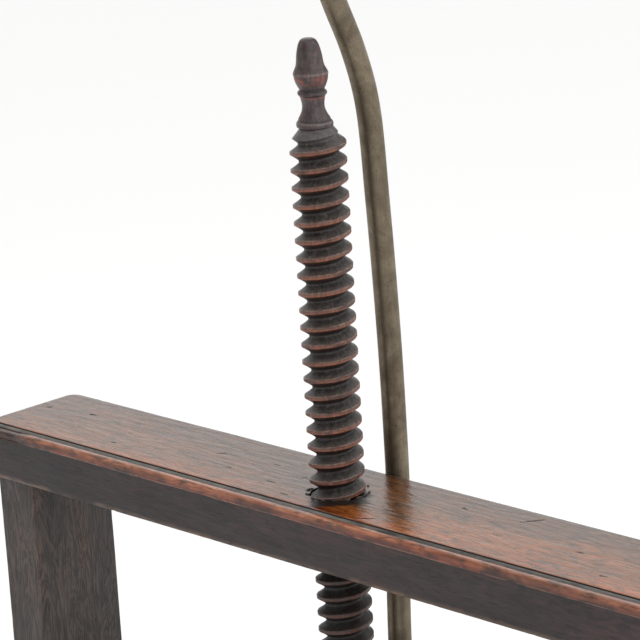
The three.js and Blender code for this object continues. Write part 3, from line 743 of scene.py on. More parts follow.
def paint_beam(beam):
    points = positions(beam)
    x, y, z = points.T
    front, back, top = BEAM_LOW.y, BEAM_HIGH.y, BEAM_HIGH.z
    slow = fractal(points, (0.11, 0.03, 0.05), 11, 3)
    patch = fractal(points, (0.035, 0.012, 0.02), 12, 3)
    fine = fractal(points, (0.012, 0.004, 0.004), 13, 3)
    behind, below = y - front, top - z
    across = behind / (back - front)
    golden = unit(0.7 - across * 1.3 + slow * 0.6 + x)
    top_colour = mix(linear(112, 70, 42), linear(164, 92, 40), golden)
    top_colour = mix(top_colour, linear(84, 55, 45), unit(across * 0.9 - 0.2 + patch * 0.5))
    # an orange run of clean wood in front of the screw
    clean = smoothstep(34 * MM, 10 * MM, np.abs(x - 16 * MM))
    clean = clean * smoothstep(front + 24 * MM, front + 13 * MM, y)
    top_colour = mix(top_colour, linear(86, 35, 17), clean * unit(0.8 + fine * 0.4))
    # a painted grey sheen on the top, left of the screw
    painted_sheen = smoothstep(70 * MM, 26 * MM, np.hypot(x * 0.7, y)) * smoothstep(10 * MM, -30 * MM, x)
    top_colour = mix(top_colour, linear(72, 58, 50), painted_sheen * 0.45)
    # a crust of old grime at the screw's front right side, darkened further as the screw's painted
    # reflection in the top
    toward = ACROSS_Y * x - ACROSS_X * y
    sideways = ACROSS_X * x + ACROSS_Y * y
    grime_and_screw_reflection = smoothstep(30 * MM, 27 * MM, toward + fine * 4 * MM) * smoothstep(4 * MM, 12 * MM, toward)
    grime_and_screw_reflection = grime_and_screw_reflection * smoothstep(21 * MM, 17.5 * MM, np.abs(sideways - 0.5 * MM) + fine * 3 * MM)
    top_colour = mix(top_colour, linear(14, 11, 11), grime_and_screw_reflection * 0.96)
    top_colour = top_colour * (0.97, 0.94, 0.64)
    rim = smoothstep(6 * MM, 0.5 * MM, back - y + patch * 3 * MM)
    rim = np.maximum(rim, smoothstep(8 * MM, 1 * MM, x - BEAM_LOW.x + patch * 4 * MM))
    top_colour = mix(top_colour, linear(62, 46, 40), rim * 0.6)
    worn_lip = smoothstep(2.2 * MM, 0.4 * MM, np.abs(behind - 11.2 * MM)) * smoothstep(-0.5, 0.4, fine)
    top_colour = mix(top_colour, linear(168, 98, 62), worn_lip * 0.6)
    face = mix(linear(42, 29, 30), linear(56, 37, 37), unit(0.5 + patch))
    # the front face is painted darker towards the left end, as painted shade
    face = face * (1.02 - 0.42 * smoothstep(60 * MM, -240 * MM, x))[:, None]
    colour = mix(face, top_colour, smoothstep(1.4 * MM, 0.5 * MM, below))
    on_bead = (behind < BEAD_END) & (below < BEAD_DROP)
    bead = mix(linear(142, 86, 62), linear(176, 116, 86), unit(0.5 + fine))
    # the bead's lower side is painted darker than its top, as painted shade, and its stains are painted
    # stronger there
    shaded_low_side = smoothstep(1.4 * MM, 3.2 * MM, below)
    stain = smoothstep(0.0, 0.3, patch + 0.35 * fine)
    bead = mix(bead, linear(104, 44, 29), shaded_low_side * 0.85)
    bead = mix(bead, linear(62, 30, 24), stain * (0.15 + 0.75 * shaded_low_side))
    left = smoothstep(BEAM_LOW.x + 68 * MM, BEAM_LOW.x + 36 * MM, x)
    bead = mix(bead, linear(52, 38, 35), left * 0.85)
    colour = mix(colour, bead, on_bead)
    in_quirk = (behind >= BEAD_END) & (behind <= 10.95 * MM) & (below > 0.12 * MM) & (below < 3 * MM)
    flat = (behind > 7.3 * MM) & (behind < BAND_END + 0.05 * MM) & (below < 1.8 * MM)
    # the quirk's slots are painted near-black, as painted shade
    colour = mix(colour, linear(22, 18, 16), in_quirk)
    dusty = mix(linear(74, 71, 66), linear(92, 88, 82), unit(0.5 + fine))
    colour = mix(colour, dusty, flat)
    low_edge = smoothstep(2.4 * MM, 0.9 * MM, z - BEAM_LOW.z) * (behind < 2.5 * MM)
    low_edge = low_edge * smoothstep(-0.7, 0.0, patch)
    colour = mix(colour, linear(116, 96, 82), low_edge * 0.75)
    # a painted highlight along the bead's lower edge
    bead_lip_highlight = (below > 5.8 * MM) & (below < BEAD_DROP) & (behind < 0.3 * MM)
    colour = mix(colour, linear(150, 112, 94), bead_lip_highlight * 0.85 * smoothstep(-0.8, 0.1, fine))
    # painted shade on the narrow ledge under the bead
    bead_ledge_shade = (below >= BEAD_DROP) & (below < 7 * MM) & (behind < 1.2 * MM)
    colour = mix(colour, linear(30, 22, 21), bead_ledge_shade)
    underneath = smoothstep(0.9 * MM, 0.2 * MM, z - BEAM_LOW.z) * (behind > 2 * MM)
    colour = mix(colour, linear(66, 48, 40), underneath)
    dull = 0.72 * (1 - smoothstep(1.4 * MM, 0.5 * MM, below))
    dull = np.where(on_bead, 0.1 + 0.2 * stain, dull)
    dull = np.where(in_quirk, 0.8, dull)
    dull = np.where(flat, 0.45, dull)
    dull = np.maximum(dull, grime_and_screw_reflection * 0.5)
    dull = np.maximum(dull, underneath)
    paint(beam, colour, dull)


def helix(z_low, z_high, steps, offsets, radius_at):
    """A closed threaded bar. offsets are heights about the crest, over one pitch, and radius_at
    gives the radius at (offset, angle, height). The first vertices run along the offsets."""
    first = int(math.floor((z_low - BEAM_TOP) / PITCH * steps))
    last = int(math.ceil((z_high - BEAM_TOP) / PITCH * steps))
    index = np.arange(first, last + 1)
    angle = CREST_AZIMUTH + index / steps * 2 * math.pi
    height = BEAM_TOP + index / steps * PITCH
    rise = np.asarray(offsets)
    z = height[:, None] + rise[None, :]
    radius = radius_at(rise[None, :] + 0 * z, angle[:, None] + 0 * z, z)
    vertices = np.stack([radius * np.cos(angle)[:, None], radius * np.sin(angle)[:, None], z], axis=-1)
    turns, width = z.shape
    faces = grid_faces(turns, width, closed=False)
    for ring in range(turns - 1 - steps):
        a = ring * width + width - 1
        b = (ring + steps) * width
        faces.append((a, b, b + width, a + width))
    vertices = vertices.reshape(-1, 3)
    low_rim = [k for k in range(width)][::-1] + [ring * width for ring in range(1, steps + 1)]
    top_ring = (turns - 1) * width
    high_rim = [top_ring + k for k in range(width)]
    high_rim += [(turns - 1 - ring) * width + width - 1 for ring in range(1, steps + 1)]
    vertices = np.vstack([vertices, [0, 0, height[0]], [0, 0, height[-1]]])
    low_centre = len(vertices) - 2
    for rim, centre in ((low_rim, low_centre), (high_rim, low_centre + 1)):
        for i, vertex in enumerate(rim):
            faces.append((centre, rim[(i + 1) % len(rim)], vertex))
    return vertices, faces


def thread_radius(rise, crest, root, land):
    """Crest, straight flank and root of the thread."""
    flank = (PITCH - CREST_LAND - ROOT_LAND) / 2
    t = unit((np.abs(rise) - land / 2) / flank)
    return crest - (crest - root) * t


def nut_cutter():
    """The thread in the beam, with the same play as the CAD's."""
    play = 0.7 * MM
    offsets = np.array([-5.35, -2.2, -1.5, 1.5, 2.2, 5.35]) * MM

    def radius_at(rise, angle, z):
        return thread_radius(rise, CREST_RADIUS + play, ROOT_RADIUS + play, CREST_LAND + 1.7 * MM)

    past, steps = 12 * MM, 40
    vertices, faces = helix(BEAM_LOW.z - past, BEAM_TOP + past, steps, offsets, radius_at)
    return raw(make_object("nut_cutter", vertices, faces))


def nick(centre, size, turn, seed, colour=CUT_WOOD_IN_SHADE):
    """An uneven lump that takes a nick out of a surface."""
    bm = bmesh.new()
    bmesh.ops.create_icosphere(bm, subdivisions=3, radius=1.0)
    spin = Matrix.Rotation(turn, 3, "Z")
    for vertex in bm.verts:
        bump = 1 + 0.3 * noise.noise(vertex.co * 1.6 + Vector((seed * 7.7, 0, 0)))
        local = Vector([c * s * MM * bump for c, s in zip(vertex.co, size)])
        vertex.co = spin @ local + Vector(centre)
    mesh = bpy.data.meshes.new("nick")
    bm.to_mesh(mesh)
    bm.free()
    return raw(add_to_scene("nick", mesh), colour, 0.85)


def mouth_chips():
    """Wood broken out round the mouth of the threaded hole: degrees, reach, width, depth."""
    places = ((-150, 18.2, 2.4, 1.4), (-122, 18.3, 1.8, 1.0), (-96, 18.5, 1.5, 0.8),
              (-20, 18.8, 3.0, 2.2), (8, 18.5, 2.3, 1.6), (95, 18.5, 2.4, 1.4), (160, 18.4, 2.0, 1.2))
    chips = []
    for i, (degrees, reach, width, depth) in enumerate(places):
        turn = math.radians(degrees)
        centre = (math.cos(turn) * reach * MM, math.sin(turn) * reach * MM, BEAM_TOP + 0.1 * MM)
        chips.append(nick(centre, (width * 1.5, width, depth), turn + math.pi / 2, i))
    return chips


def splinters():
    """Torn fibres standing up round the mouth: degrees, reach, length, width, height."""
    places = ((12, 20.4, 2.6, 1.0, 1.5), (26, 20.6, 2.2, 0.9, 1.1), (-4, 20.2, 2.0, 0.9, 1.0),
              (-26, 19.6, 1.6, 0.7, 0.8), (-52, 19.4, 1.5, 0.6, 0.7), (-74, 19.5, 1.8, 0.7, 0.8),
              (-98, 19.7, 1.7, 0.8, 0.9), (-128, 20.0, 1.8, 0.8, 0.9), (64, 20.0, 1.8, 0.8, 0.8))
    lumps = []
    for i, (degrees, reach, length, width, height) in enumerate(places):
        turn = math.radians(degrees)
        centre = (math.cos(turn) * reach * MM, math.sin(turn) * reach * MM, BEAM_TOP - 0.2 * MM)
        lumps.append(nick(centre, (length, width, height), turn + math.pi / 2, 80 + i,
                          linear(62, 54, 50)))
    return lumps


def gouges():
    """Old tool marks and nicks in the beam's top: x, y, half length, half width, degrees."""
    places = ((-256, 16, 3.4, 1.3, 12), (-296, 10, 2.2, 0.8, 20), (137, 30, 8.5, 0.7, 52),
              (51, -27.5, 7.5, 0.8, 32), (-196, -17, 3.0, 0.5, 4), (-118, 9, 3.6, 0.5, 40),
              (-92, -8, 3.2, 0.45, 8), (-70, 14, 3.8, 0.5, -6), (-48, -12, 4.4, 0.5, 5),
              (-36, 6, 2.6, 0.45, 30), (-24, -24, 3.4, 0.5, 3), (196, 4, 2.6, 0.5, 12),
              (232, -18, 3.0, 0.45, 6), (88, 22, 2.4, 0.45, -8))
    made = []
    for i, (x, y, half_length, half_width, degrees) in enumerate(places):
        centre = (x * MM, y * MM, BEAM_TOP + 0.1 * MM)
        made.append(nick(centre, (half_length, half_width, 0.42), math.radians(degrees), 20 + i,
                         linear(34, 24, 21)))
    back_nick = (-275 * MM, BEAM_HIGH.y, BEAM_TOP)
    made.append(nick(back_nick, (4.5, 1.6, 1.8), 0.1, 50, linear(96, 66, 48)))
    for i, x in enumerate((-42, 31, 118, -170)):
        place = (x * MM, BEAM_LOW.y + BEAD_PROUD, BEAM_LOW.z)
        made.append(nick(place, (3.2, 1.1, 0.9), 0.1, 60 + i, linear(92, 72, 60)))
    return made


# ---------------------------------------------------------------- screw
FINIAL = [
    (0.0, 0.0), (2.6, 0.1), (4.0, 0.6), (5.1, 1.5), (6.2, 3.6), (7.2, 7.0), (7.9, 10.8), (8.3, 14.6),
    (8.8, 17.0), (9.9, 19.2), (10.6, 20.7), (10.8, 21.6), (10.8, 22.3), (10.5, 22.9), (10.45, 24.3),
    (9.8, 26.8), (8.7, 29.4), (7.8, 31.0), (7.7, 31.7), (8.2, 32.1), (8.9, 32.7), (9.1, 33.6),
    (8.9, 34.5), (8.0, 35.2), (7.6, 36.4), (6.95, 39.6), (6.85, 42.1), (7.4, 44.7), (8.6, 47.2),
    (9.8, 49.2), (10.0, 50.0), (9.9, 50.4), (10.7, 50.9), (11.3, 51.8), (11.4, 53.0), (11.2, 54.2),
    (10.1, 54.9), (9.9, 55.8), (10.3, 57.4), (9.0, 62.0), (0.0, 62.0),
]
CREST_STEPS = [0, 0.5, 0.85, 1.05, 1.25, 1.6, 2.2, 3.3, 4.4, 4.9, 5.3]


def press_screw():
    profile = eased([(r * MM, SCREW_HIGH.z - d * MM) for r, d in FINIAL], 0.35 * MM, 1)
    finial = revolve("finial", profile, 96)
    lean_finial(finial)
    cone_foot = BEAM_TOP + THREAD_TOP_OVER_BEAM
    offsets = np.array([-v for v in CREST_STEPS[:0:-1]] + CREST_STEPS) * MM

    def radius_at(rise, angle, z):
        shape = z.shape
        around = np.stack([np.cos(angle) * 0.02, np.sin(angle) * 0.02, z], axis=-1).reshape(-1, 3)
        rub = fractal(around, 0.02, 21, 2).reshape(shape)
        tiny = fractal(around, 0.0035, 22, 2).reshape(shape)
        crest = CREST_RADIUS - 0.12 * MM + rub * 0.12 * MM
        land = CREST_LAND * 0.9 + rub * 0.4 * MM
        radius = thread_radius(rise, crest, ROOT_RADIUS, land)
        hollow = np.sin(unit((np.abs(rise) - land / 2) / (3.75 * MM)) * math.pi)
        radius = radius - hollow * 0.25 * MM
        near_crest = smoothstep(2.0 * MM, 0.8 * MM, np.abs(rise))
        radius = radius - unit(tiny - 0.25) * near_crest * 0.7 * MM
        cone = 11.2 * MM + (cone_foot - z) * 0.8
        return np.minimum(radius, np.maximum(cone, 5 * MM))

    low = SCREW_LOW.z
    thread_low, thread_high, steps = low + 25 * MM, cone_foot + 3 * MM, 84
    vertices, faces = helix(thread_low, thread_high, steps, offsets, radius_at)
    thread = make_object("thread", vertices, faces, 50)
    width, top = 12 * MM, low + 26 * MM
    spigot = revolve("spigot", [(0, low), (width, low), (width, top), (0, top)], 48)
    rings = (len(vertices) - 2) // len(offsets)
    end_centres = [4 * MM, 4 * MM]
    paint_thread(thread, np.append(np.tile(offsets, rings), end_centres))
    paint_finial(finial)
    paint(spigot, linear(50, 34, 28), 0.6)
    screw = join_objects("press_screw_turned", thread, finial, spigot)
    return dress(screw, "turned", "screw", "press_screw")


def lean_finial(finial):
    """The finial stands a little off the screw's axis, and leans."""
    points = positions(finial)
    height = points[:, 2] - SCREW_HIGH.z + FINIAL_HEIGHT
    lean = (FINIAL_OFFSET + FINIAL_SLOPE * height)[:, None]
    points[:, :2] -= lean * (ACROSS_X, ACROSS_Y)
    move_to(finial, points)


def join_objects(name, first, *others):
    for obj in bpy.context.view_layer.objects:
        obj.select_set(False)
    for obj in (first, *others):
        obj.select_set(True)
    bpy.context.view_layer.objects.active = first
    bpy.ops.object.join()
    first.name = name
    first.data.name = name
    return first


def paint_thread(thread, rise):
    """Grey worked upper flanks and brown lower flanks, painted darker towards the near-black roots and
    under each crest as painted shade; red-brown crests with a rubbed upper arris that carries a painted
    highlight; painted shade below the beam's top.
    """
    points = positions(thread)
    x, y, z = points.T
    turn = np.arctan2(y, x)
    reach = np.hypot(x, y)
    rub = fractal(points, (0.02, 0.02, 0.006), 31, 3)
    fine = fractal(points, 0.0035, 32, 3)
    cuts = fractal(np.stack([turn * 0.35, reach * 6, z * 1.5], axis=-1), 0.02, 33, 3)
    depth = unit((reach - ROOT_RADIUS) / (CREST_RADIUS - ROOT_RADIUS))
    # both flanks are painted darker towards the root, and the lower flanks darker than the upper ones, as
    # painted shade
    upper = mix(linear(34, 31, 29), linear(66, 58, 53), smoothstep(0.05, 0.85, depth))
    upper = mix(upper, linear(106, 99, 96), unit(0.15 + cuts * 0.7 + fine * 0.3) * 0.55)
    lower = mix(linear(24, 17, 14), linear(66, 38, 26), smoothstep(0.2, 0.95, depth))
    colour = mix(lower, upper, smoothstep(-0.6 * MM, 0.6 * MM, rise))
    upper_side = smoothstep(-0.9 * MM, 0.9 * MM, rise + rub * 0.6 * MM)
    crest = mix(linear(130, 78, 56), linear(96, 66, 58), upper_side)
    crest = mix(crest, linear(58, 38, 33), smoothstep(0.05, 0.45, rub + fine * 0.4) * 0.7)
    on_crest = smoothstep(1.5 * MM, 1.15 * MM, np.abs(rise)) * smoothstep(0.5, 0.85, depth)
    colour = mix(colour, crest, on_crest)
    # a pale rubbed line on the crest's upper arris, with a painted highlight
    arris = smoothstep(0.4 * MM, 0.12 * MM, np.abs(rise - 1.15 * MM)) * smoothstep(-0.5, 0.3, fine)
    colour = mix(colour, linear(138, 112, 98), arris * 0.75)
    root = smoothstep(5.0 * MM, 5.25 * MM, np.abs(rise))
    colour = mix(colour, linear(50, 38, 32), root * 0.6)
    cone = smoothstep(THREAD_TOP_OVER_BEAM - 8 * MM, THREAD_TOP_OVER_BEAM - 4 * MM, z - BEAM_TOP)
    colour = mix(colour, linear(88, 82, 82), cone * smoothstep(-0.3, 0.3, rub + 0.35) * 0.9)
    # painted shade: the thread is painted darker from the beam's top down through the beam
    below = smoothstep(BEAM_TOP, BEAM_LOW.z, z)[:, None]
    colour = colour * (1 - 0.55 * below)
    dull = 0.4 - 0.22 * on_crest + 0.3 * smoothstep(0.35, 0.0, depth) * (1 - cone) - 0.25 * cone
    paint(thread, colour, dull)


def paint_finial(finial):
    points = positions(finial)
    rub = fractal(points, (0.008, 0.008, 0.004), 41, 3)
    fine = fractal(points, 0.003, 42, 2)
    below_tip = (SCREW_HIGH.z - points[:, 2]) / MM
    colour = mix(linear(56, 47, 46), linear(80, 68, 66), unit(0.5 + fine))
    colour = mix(colour, linear(104, 62, 60), unit(rub * 0.9) * 0.6)
    streak = fractal(points, (0.0024, 0.0024, 0.03), 43, 2)
    colour = mix(colour, linear(40, 31, 32), unit(streak * 1.4) * 0.75)
    rubbed = np.exp(-((below_tip - 25.0) / 2.2) ** 2)
    rubbed += 0.6 * np.exp(-((below_tip - 36.0) / 0.9) ** 2)
    rubbed = unit(rubbed * (0.8 + rub * 1.3))
    colour = mix(colour, linear(146, 70, 54), rubbed * 0.8)
    pale = np.exp(-((below_tip - 21.4) / 0.7) ** 2) + np.exp(-((below_tip - 51.6) / 0.6) ** 2)
    colour = mix(colour, linear(128, 112, 106), unit(pale) * 0.6)
    grooves = 0
    for depth, width in ((31.4, 0.8), (50.3, 0.4), (55.3, 1.0), (35.0, 0.5)):
        grooves = grooves + np.exp(-((below_tip - depth) / width) ** 2)
    grooves = unit(grooves)
    colour = mix(colour, linear(22, 18, 17), grooves * 0.85)
    paint(finial, colour, 0.12 + 0.3 * grooves)


def screw_head():
    """The turned boss under the thread, bored crosswise for the pin, with its grooved toe."""
    low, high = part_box("screw_head")
    toe, boss = low.z, low.z + 24.5 * MM
    profile = [
        (0, 0), (12.6, 0), (14, 1.4), (14, 7.5), (10, 7.6), (10, 15.4), (14, 15.5), (14, 24.5),
        (22.4, 24.5), (24.6, 25.4), (25.5, 27.5), (25.2, 29.6), (24.0, 30.6), (23.9, 31.8),
        (26.2, 34.6), (28.6, 37.6), (31.0, 43), (32.3, 49), (33.0, 57), (33.0, 65), (32.3, 72),
        (31.0, 78), (28.6, 83.4), (26.0, 86.4), (24.0, 87.6), (22.4, 88.0), (21.6, 89.4), (19.6, 90.6),
        (18.8, 92.6), (17.6, 93.5), (0, 93.5)]
    points = eased([(min(r * MM, high.x), toe + z * MM) for r, z in profile], 1.2 * MM, 1)
    points[-1] = (0, high.z)
    head = revolve("screw_head_turned", points, 88)
    paint_turned(head, boss)
    hole, far = 7.5 * MM, 40 * MM
    z = toe + 61 * MM
    cut(head, drill((-far, 0, z), (far, 0, z), hole), drill((0, -far, z), (0, far, z), hole))
    return dress(head, "turned", "screw", "screw_head")


def paint_turned(obj, lines_above):
    """Turned wood with scored lines and lighter patches."""
    points = positions(obj)
    height = (points[:, 2] - lines_above) / MM
    patch = fractal(points, (0.02, 0.02, 0.008), 71, 3)
    fine = fractal(points, 0.004, 72, 2)
    colour = mix(linear(56, 42, 37), linear(84, 60, 50), unit(0.5 + patch))
    colour = mix(colour, linear(112, 74, 58), unit(fine) * 0.4)
    score = np.exp(-((height - 21) / 0.5) ** 2) + np.exp(-((height - 52) / 0.5) ** 2)
    score += np.exp(-((height - 6.6) / 0.7) ** 2) + np.exp(-((height - 63.6) / 0.6) ** 2)
    colour = mix(colour, linear(24, 18, 16), unit(score) * 0.85)
    paint(obj, colour, 0.15 + 0.35 * unit(score))


# ---------------------------------------------------------------- lamp tube and its fixings
def tube_route():
    """Centre line of the tube: behind the screw, then bent forward over it."""
    low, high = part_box("lamp_tube")
    foot, top = low.z / MM, high.z / MM
    points = [(46, foot), (46, 60), (46.2, 160), (47, 250), (48.6, 316), (53, 382), (53.3, 430),
              (52.3, 490), (48.6, 576), (44, 640), (34.9, 673), (20.6, 706), (8.2, 736), (1.5, 764),
              (0, 790), (0, top)]
    return [Vector((0, y * MM, z * MM)) for y, z in points]


def centripetal(points, per_span=14):
    """Centripetal Catmull-Rom curve through the points."""
    extended = [points[0] * 2 - points[1], *points, points[-1] * 2 - points[-2]]
    curve = []
    for span in zip(extended, extended[1:], extended[2:], extended[3:]):
        times = [0.0]
        for a, b in zip(span, span[1:]):
            times.append(times[-1] + math.sqrt((b - a).length))
        for k in range(per_span):
            t = times[1] + (times[2] - times[1]) * k / per_span
            level = list(span)
            for width in (1, 2, 3):
                if width < 3:
                    level = [a + (b - a) * ((t - times[i]) / (times[i + width] - times[i]))
                             for i, (a, b) in enumerate(zip(level, level[1:]))]
            share = (t - times[1]) / (times[2] - times[1])
            curve.append(level[0].lerp(level[1], share))
    curve.append(points[-1])
    return curve


def lamp_tube():
    low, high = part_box("lamp_tube")
    radius = (high.x - low.x) / 2
    wall_thickness = 1.35 * MM
    bore = radius - wall_thickness
    route = centripetal(tube_route())
    sides = 40
    angles = [2 * math.pi * k / sides for k in range(sides)]
    across = Vector((1, 0, 0))
    walls = {radius: [], bore: []}
    for i, point in enumerate(route):
        ahead = (route[min(i + 1, len(route) - 1)] - route[max(i - 1, 0)]).normalized()
        side = across.cross(ahead)
        for wall, rings in walls.items():
            rings.append([point + (across * math.cos(t) + side * math.sin(t)) * wall for t in angles])
    loop = walls[radius] + walls[bore][::-1]
    faces = grid_faces(len(loop), sides)
    last = (len(loop) - 1) * sides
    for k in range(sides):
        nxt = (k + 1) % sides
        faces.append((last + k, last + nxt, nxt, k))
    tube = make_object("lamp_tube_bent", [v for ring in loop for v in ring], faces)
    return dress(tube, "brass", "frame", "lamp_tube")


def ring(node, name, profile, material, slot, body="frame", ease=0.5 * MM, sides=64):
    """A turned piece in place of a CAD node. The profile is (radius, height) in mm, from the
    node's own low end, about the middle of the node."""
    low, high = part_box(node)
    centre = ((low.x + high.x) / 2, (low.y + high.y) / 2, low.z)
    points = [(r * MM, z * MM) for r, z in profile]
    closed = profile[0][0] > 0
    if closed:
        points.append(points[0])
    points = eased(points, ease, 1)
    if closed:
        points = points[:-1]
    piece = revolve(name, points, sides, centre)
    return dress(piece, material, body, node)


def tube_fixings():
    ring("tube_collar", "collar_turned", [
        (8.1, 0), (10.3, 0), (10.8, 0.6), (10.8, 3.2), (10.2, 3.9), (9.4, 4.2), (9.2, 6.4),
        (8.8, 7.4), (8.1, 7.7)], "brass", "aged_brass")
    ring("tube_washer", "washer_turned", [
        (8.1, 0), (14.6, 0), (15, 0.4), (15, 1.4), (14.6, 1.7), (8.1, 1.7)],
         "steel", "dark_steel", ease=0.4 * MM)
    ring("cord_bush", "bush_turned", [
        (4.0, 0.6), (4.6, 0), (8.0, 0), (8.6, 0.6), (8.6, 2.0), (8.3, 2.3), (5.8, 2.3),
        (5.8, 11.6), (4.0, 11.6)], "black", "black_plastic")
    beam_clip()


def beam_clip():
    """A bent brass strap round the tube, screwed to the back of the beam."""
    low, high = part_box("beam_clip")
    near = low.y
    thick = 1.4 * MM
    inner = high.y - thick
    radius = 8.05 * MM
    centre = inner - radius
    angles = np.linspace(math.pi, 0, 33)
    outer = radius + thick
    inside = [(math.cos(a) * radius, centre + math.sin(a) * radius) for a in angles]
    outside = [(math.cos(a) * outer, centre + math.sin(a) * outer) for a in angles[::-1]]
    outline = [(low.x, near), (-radius, near), *inside, (radius, near), (high.x, near),
               (high.x, near + thick), (radius + thick, near + thick), *outside,
               (-radius - thick, near + thick), (low.x, near + thick)]
    clip = swept_board("beam_clip_bent", np.array(outline), 2, low.z, high.z, 3 * MM, 0.4 * MM)
    dress(clip, "brass", "frame", "beam_clip")
    for node in ("clip_screw_left", "clip_screw_right"):
        slotted_screw(node, 1, 1, "brass", 3.6)


def slotted_screw(node, axis, outward, material, head):
    """A domed screw head with a slot, and its shank."""
    low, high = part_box(node)
    tip, top = (low[axis], high[axis]) if outward > 0 else (high[axis], low[axis])
    centre = [(low[i] + high[i]) / 2 for i in range(3)]
    centre[axis] = tip
    long = abs(top - tip) / MM
    shape = [(0, 0), (0.5, 0.8), (1.5, 4), (1.7, 6), (1.7, long - 3.4), (head, long - 3.4),
             (head, long - 1.8), (head * 0.9, long - 0.8), (head * 0.6, long - 0.2), (0, long)]
    screw = revolve(node + "_turned", eased([(r * MM, z * MM * outward) for r, z in shape], 0.7 * MM, 1),
                    40, centre, axis)
    wide, deep, half = (head + 1) * MM, 1.5 * MM, 0.55 * MM
    reach = {axis: (top - outward * deep, top + outward * MM)}
    free = [i for i in range(3) if i != axis]
    reach[free[0]] = (centre[free[0]] - wide, centre[free[0]] + wide)
    reach[free[1]] = (centre[free[1]] - half, centre[free[1]] + half)
    low_corner = [min(reach[i]) for i in range(3)]
    high_corner = [max(reach[i]) for i in range(3)]
    paint(screw, linear(90, 80, 66), 0.3)
    cut(screw, block(low_corner, high_corner))
    return dress(screw, material, "frame", node)


# ---------------------------------------------------------------- lampholder
def lampholder():
    ring("check_ring", "check_ring_turned", [
        (8.1, 0), (10.7, 0), (11.2, 0.5), (11.2, 1.4), (10.8, 1.7), (10.8, 2.5), (11.2, 2.8), (11.2, 3.7),
        (10.7, 4.2), (8.1, 4.2)], "brass", "aged_brass", ease=0.3 * MM)
    ring("holder_cap", "holder_cap_spun", [
        (8.1, 0), (10.1, 0), (10.5, 0.5), (11, 5), (12.2, 7), (15.3, 9), (17.2, 11), (18.3, 14),
        (18.5, 15.4), (18.5, 16.4), (18.2, 16.8), (18.5, 17.2), (18.5, 18.5), (18.1, 19), (17.3, 19),
        (17.3, 15), (16.2, 12), (14.4, 10.2), (10.6, 8), (9.8, 6.4), (8.1, 6.4)], "brass", "aged_brass")
    shell()
    ring("socket_block", "porcelain_block", [
        (0, 0), (14.6, 0), (15.2, 0.7), (15.2, 12.2), (14.7, 13), (0, 13)], "porcelain", "porcelain")
    ring("socket_liner", "liner_moulded", [
        (4.4, 0), (15, 0), (15.4, 0.4), (15.4, 23.3), (15.0, 23.7), (13.8, 23.7), (13.4, 23.2),
        (13.4, 2.2), (4.4, 2.2)], "black", "black_plastic")
    ring("centre_contact", "contact_turned", [
        (0, 0), (3.8, 0), (3.8, 3.0), (3.4, 3.5), (2.6, 4.6), (1.6, 5.4), (0, 5.6)],
         "brass", "aged_brass", ease=0.3 * MM, sides=32)
    switch_key()


def shell():
    low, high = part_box("holder_shell")
    top = (high.z - low.z) / MM
    profile = [
        (15.8, 0), (16.6, 0), (17, 0.4), (17, 6), (16.75, 6.6), (16.75, 7.2), (17, 7.8),
        (17, top - 12), (16.7, top - 11.5), (16.7, top - 11), (17, top - 10.5), (17, top - 4.4),
        (17.6, top - 3.6), (18.4, top - 3.0), (18.6, top - 2), (18.4, top - 0.8), (17.8, top),
        (16.4, top), (15.8, top - 0.5)]
    points = eased([(r * MM, z * MM) for r, z in profile] + [(15.8 * MM, 0)], 0.5 * MM, 1)[:-1]
    piece = revolve("holder_shell_spun", points, 72, (0, 0, low.z))
    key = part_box("switch_key")
    height = (key[0].z + key[1].z) / 2
    paint(piece, linear(120, 108, 86), 0.3)
    inside, outside, key_hole = 5 * MM, 25 * MM, 3.2 * MM
    cut(piece, drill((inside, 0, height), (outside, 0, height), key_hole))
    return dress(piece, "brass", "frame", "holder_shell")


def switch_key():
    low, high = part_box("switch_key")
    middle = (low.z + high.z) / 2
    shaft = revolve("shaft", eased([(0, low.x), (1.7 * MM, low.x), (1.7 * MM, high.x - 13 * MM),
                                    (0, high.x - 13 * MM)], 1 * MM, 0), 28, (0, 0, middle), 0)
    angles = np.linspace(0, 2 * math.pi, 49)[:-1]
    half_long = 8 * MM
    half_wide = (high.z - low.z) / 2
    centre = high.x - half_long
    waist = 1 - 0.07 * np.cos(2 * angles) ** 2
    along_x = centre + half_long * np.cos(angles)
    outline = np.stack([along_x, middle + half_wide * np.sin(angles) * waist], axis=1)
    thumb = swept_board("thumb", outline, 1, low.y, high.y, 0.6 * MM, 0.9 * MM)
    key = join_objects("switch_key_moulded", shaft, thumb)
    return dress(key, "black", "switch", "switch_key")


# ---------------------------------------------------------------- frame
def post(name, node, seed):
    low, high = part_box(node)
    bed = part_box("base_board")[1].z
    gap = 0.3 * MM
    outline = rectangle(low, high, 1.6 * MM, 2.6 * MM)
    shaft = swept_board(name, outline, 2, bed + gap, BEAM_LOW.z - gap, 2.6 * MM, 0.8 * MM)
    weather(shaft, 0.7 * MM, seed, 0.4 * MM)
    paint_board(shaft, seed, linear(52, 47, 45), linear(80, 71, 67), linear(112, 82, 70),
                (0.012, 0.012, 0.06))
    side = "right" if low.x > 0 else "left"
    middle = (low.x + high.x) / 2
    outline = rectangle((middle - TENON_HALF_X, -TENON_HALF_Y),
                        (middle + TENON_HALF_X, TENON_HALF_Y), 0.5 * MM, 4 * MM)
    tenon = swept_board("tenon", outline, 2, low.z, bed + 2 * MM, 4 * MM, 0.4 * MM)
    paint_board(tenon, seed + 5, linear(60, 48, 42), linear(88, 68, 56), linear(80, 62, 52),
                (0.01, 0.01, 0.05), 0.8)
    for word in ("front", "back"):
        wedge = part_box(f"wedge_{side}_{word}")
        grow = Vector((5, 0.25, 1)) * MM
        cut(tenon, block(wedge[0] - grow, wedge[1] + grow))
    return dress(join_objects(name, shaft, tenon), "post", "frame", node)


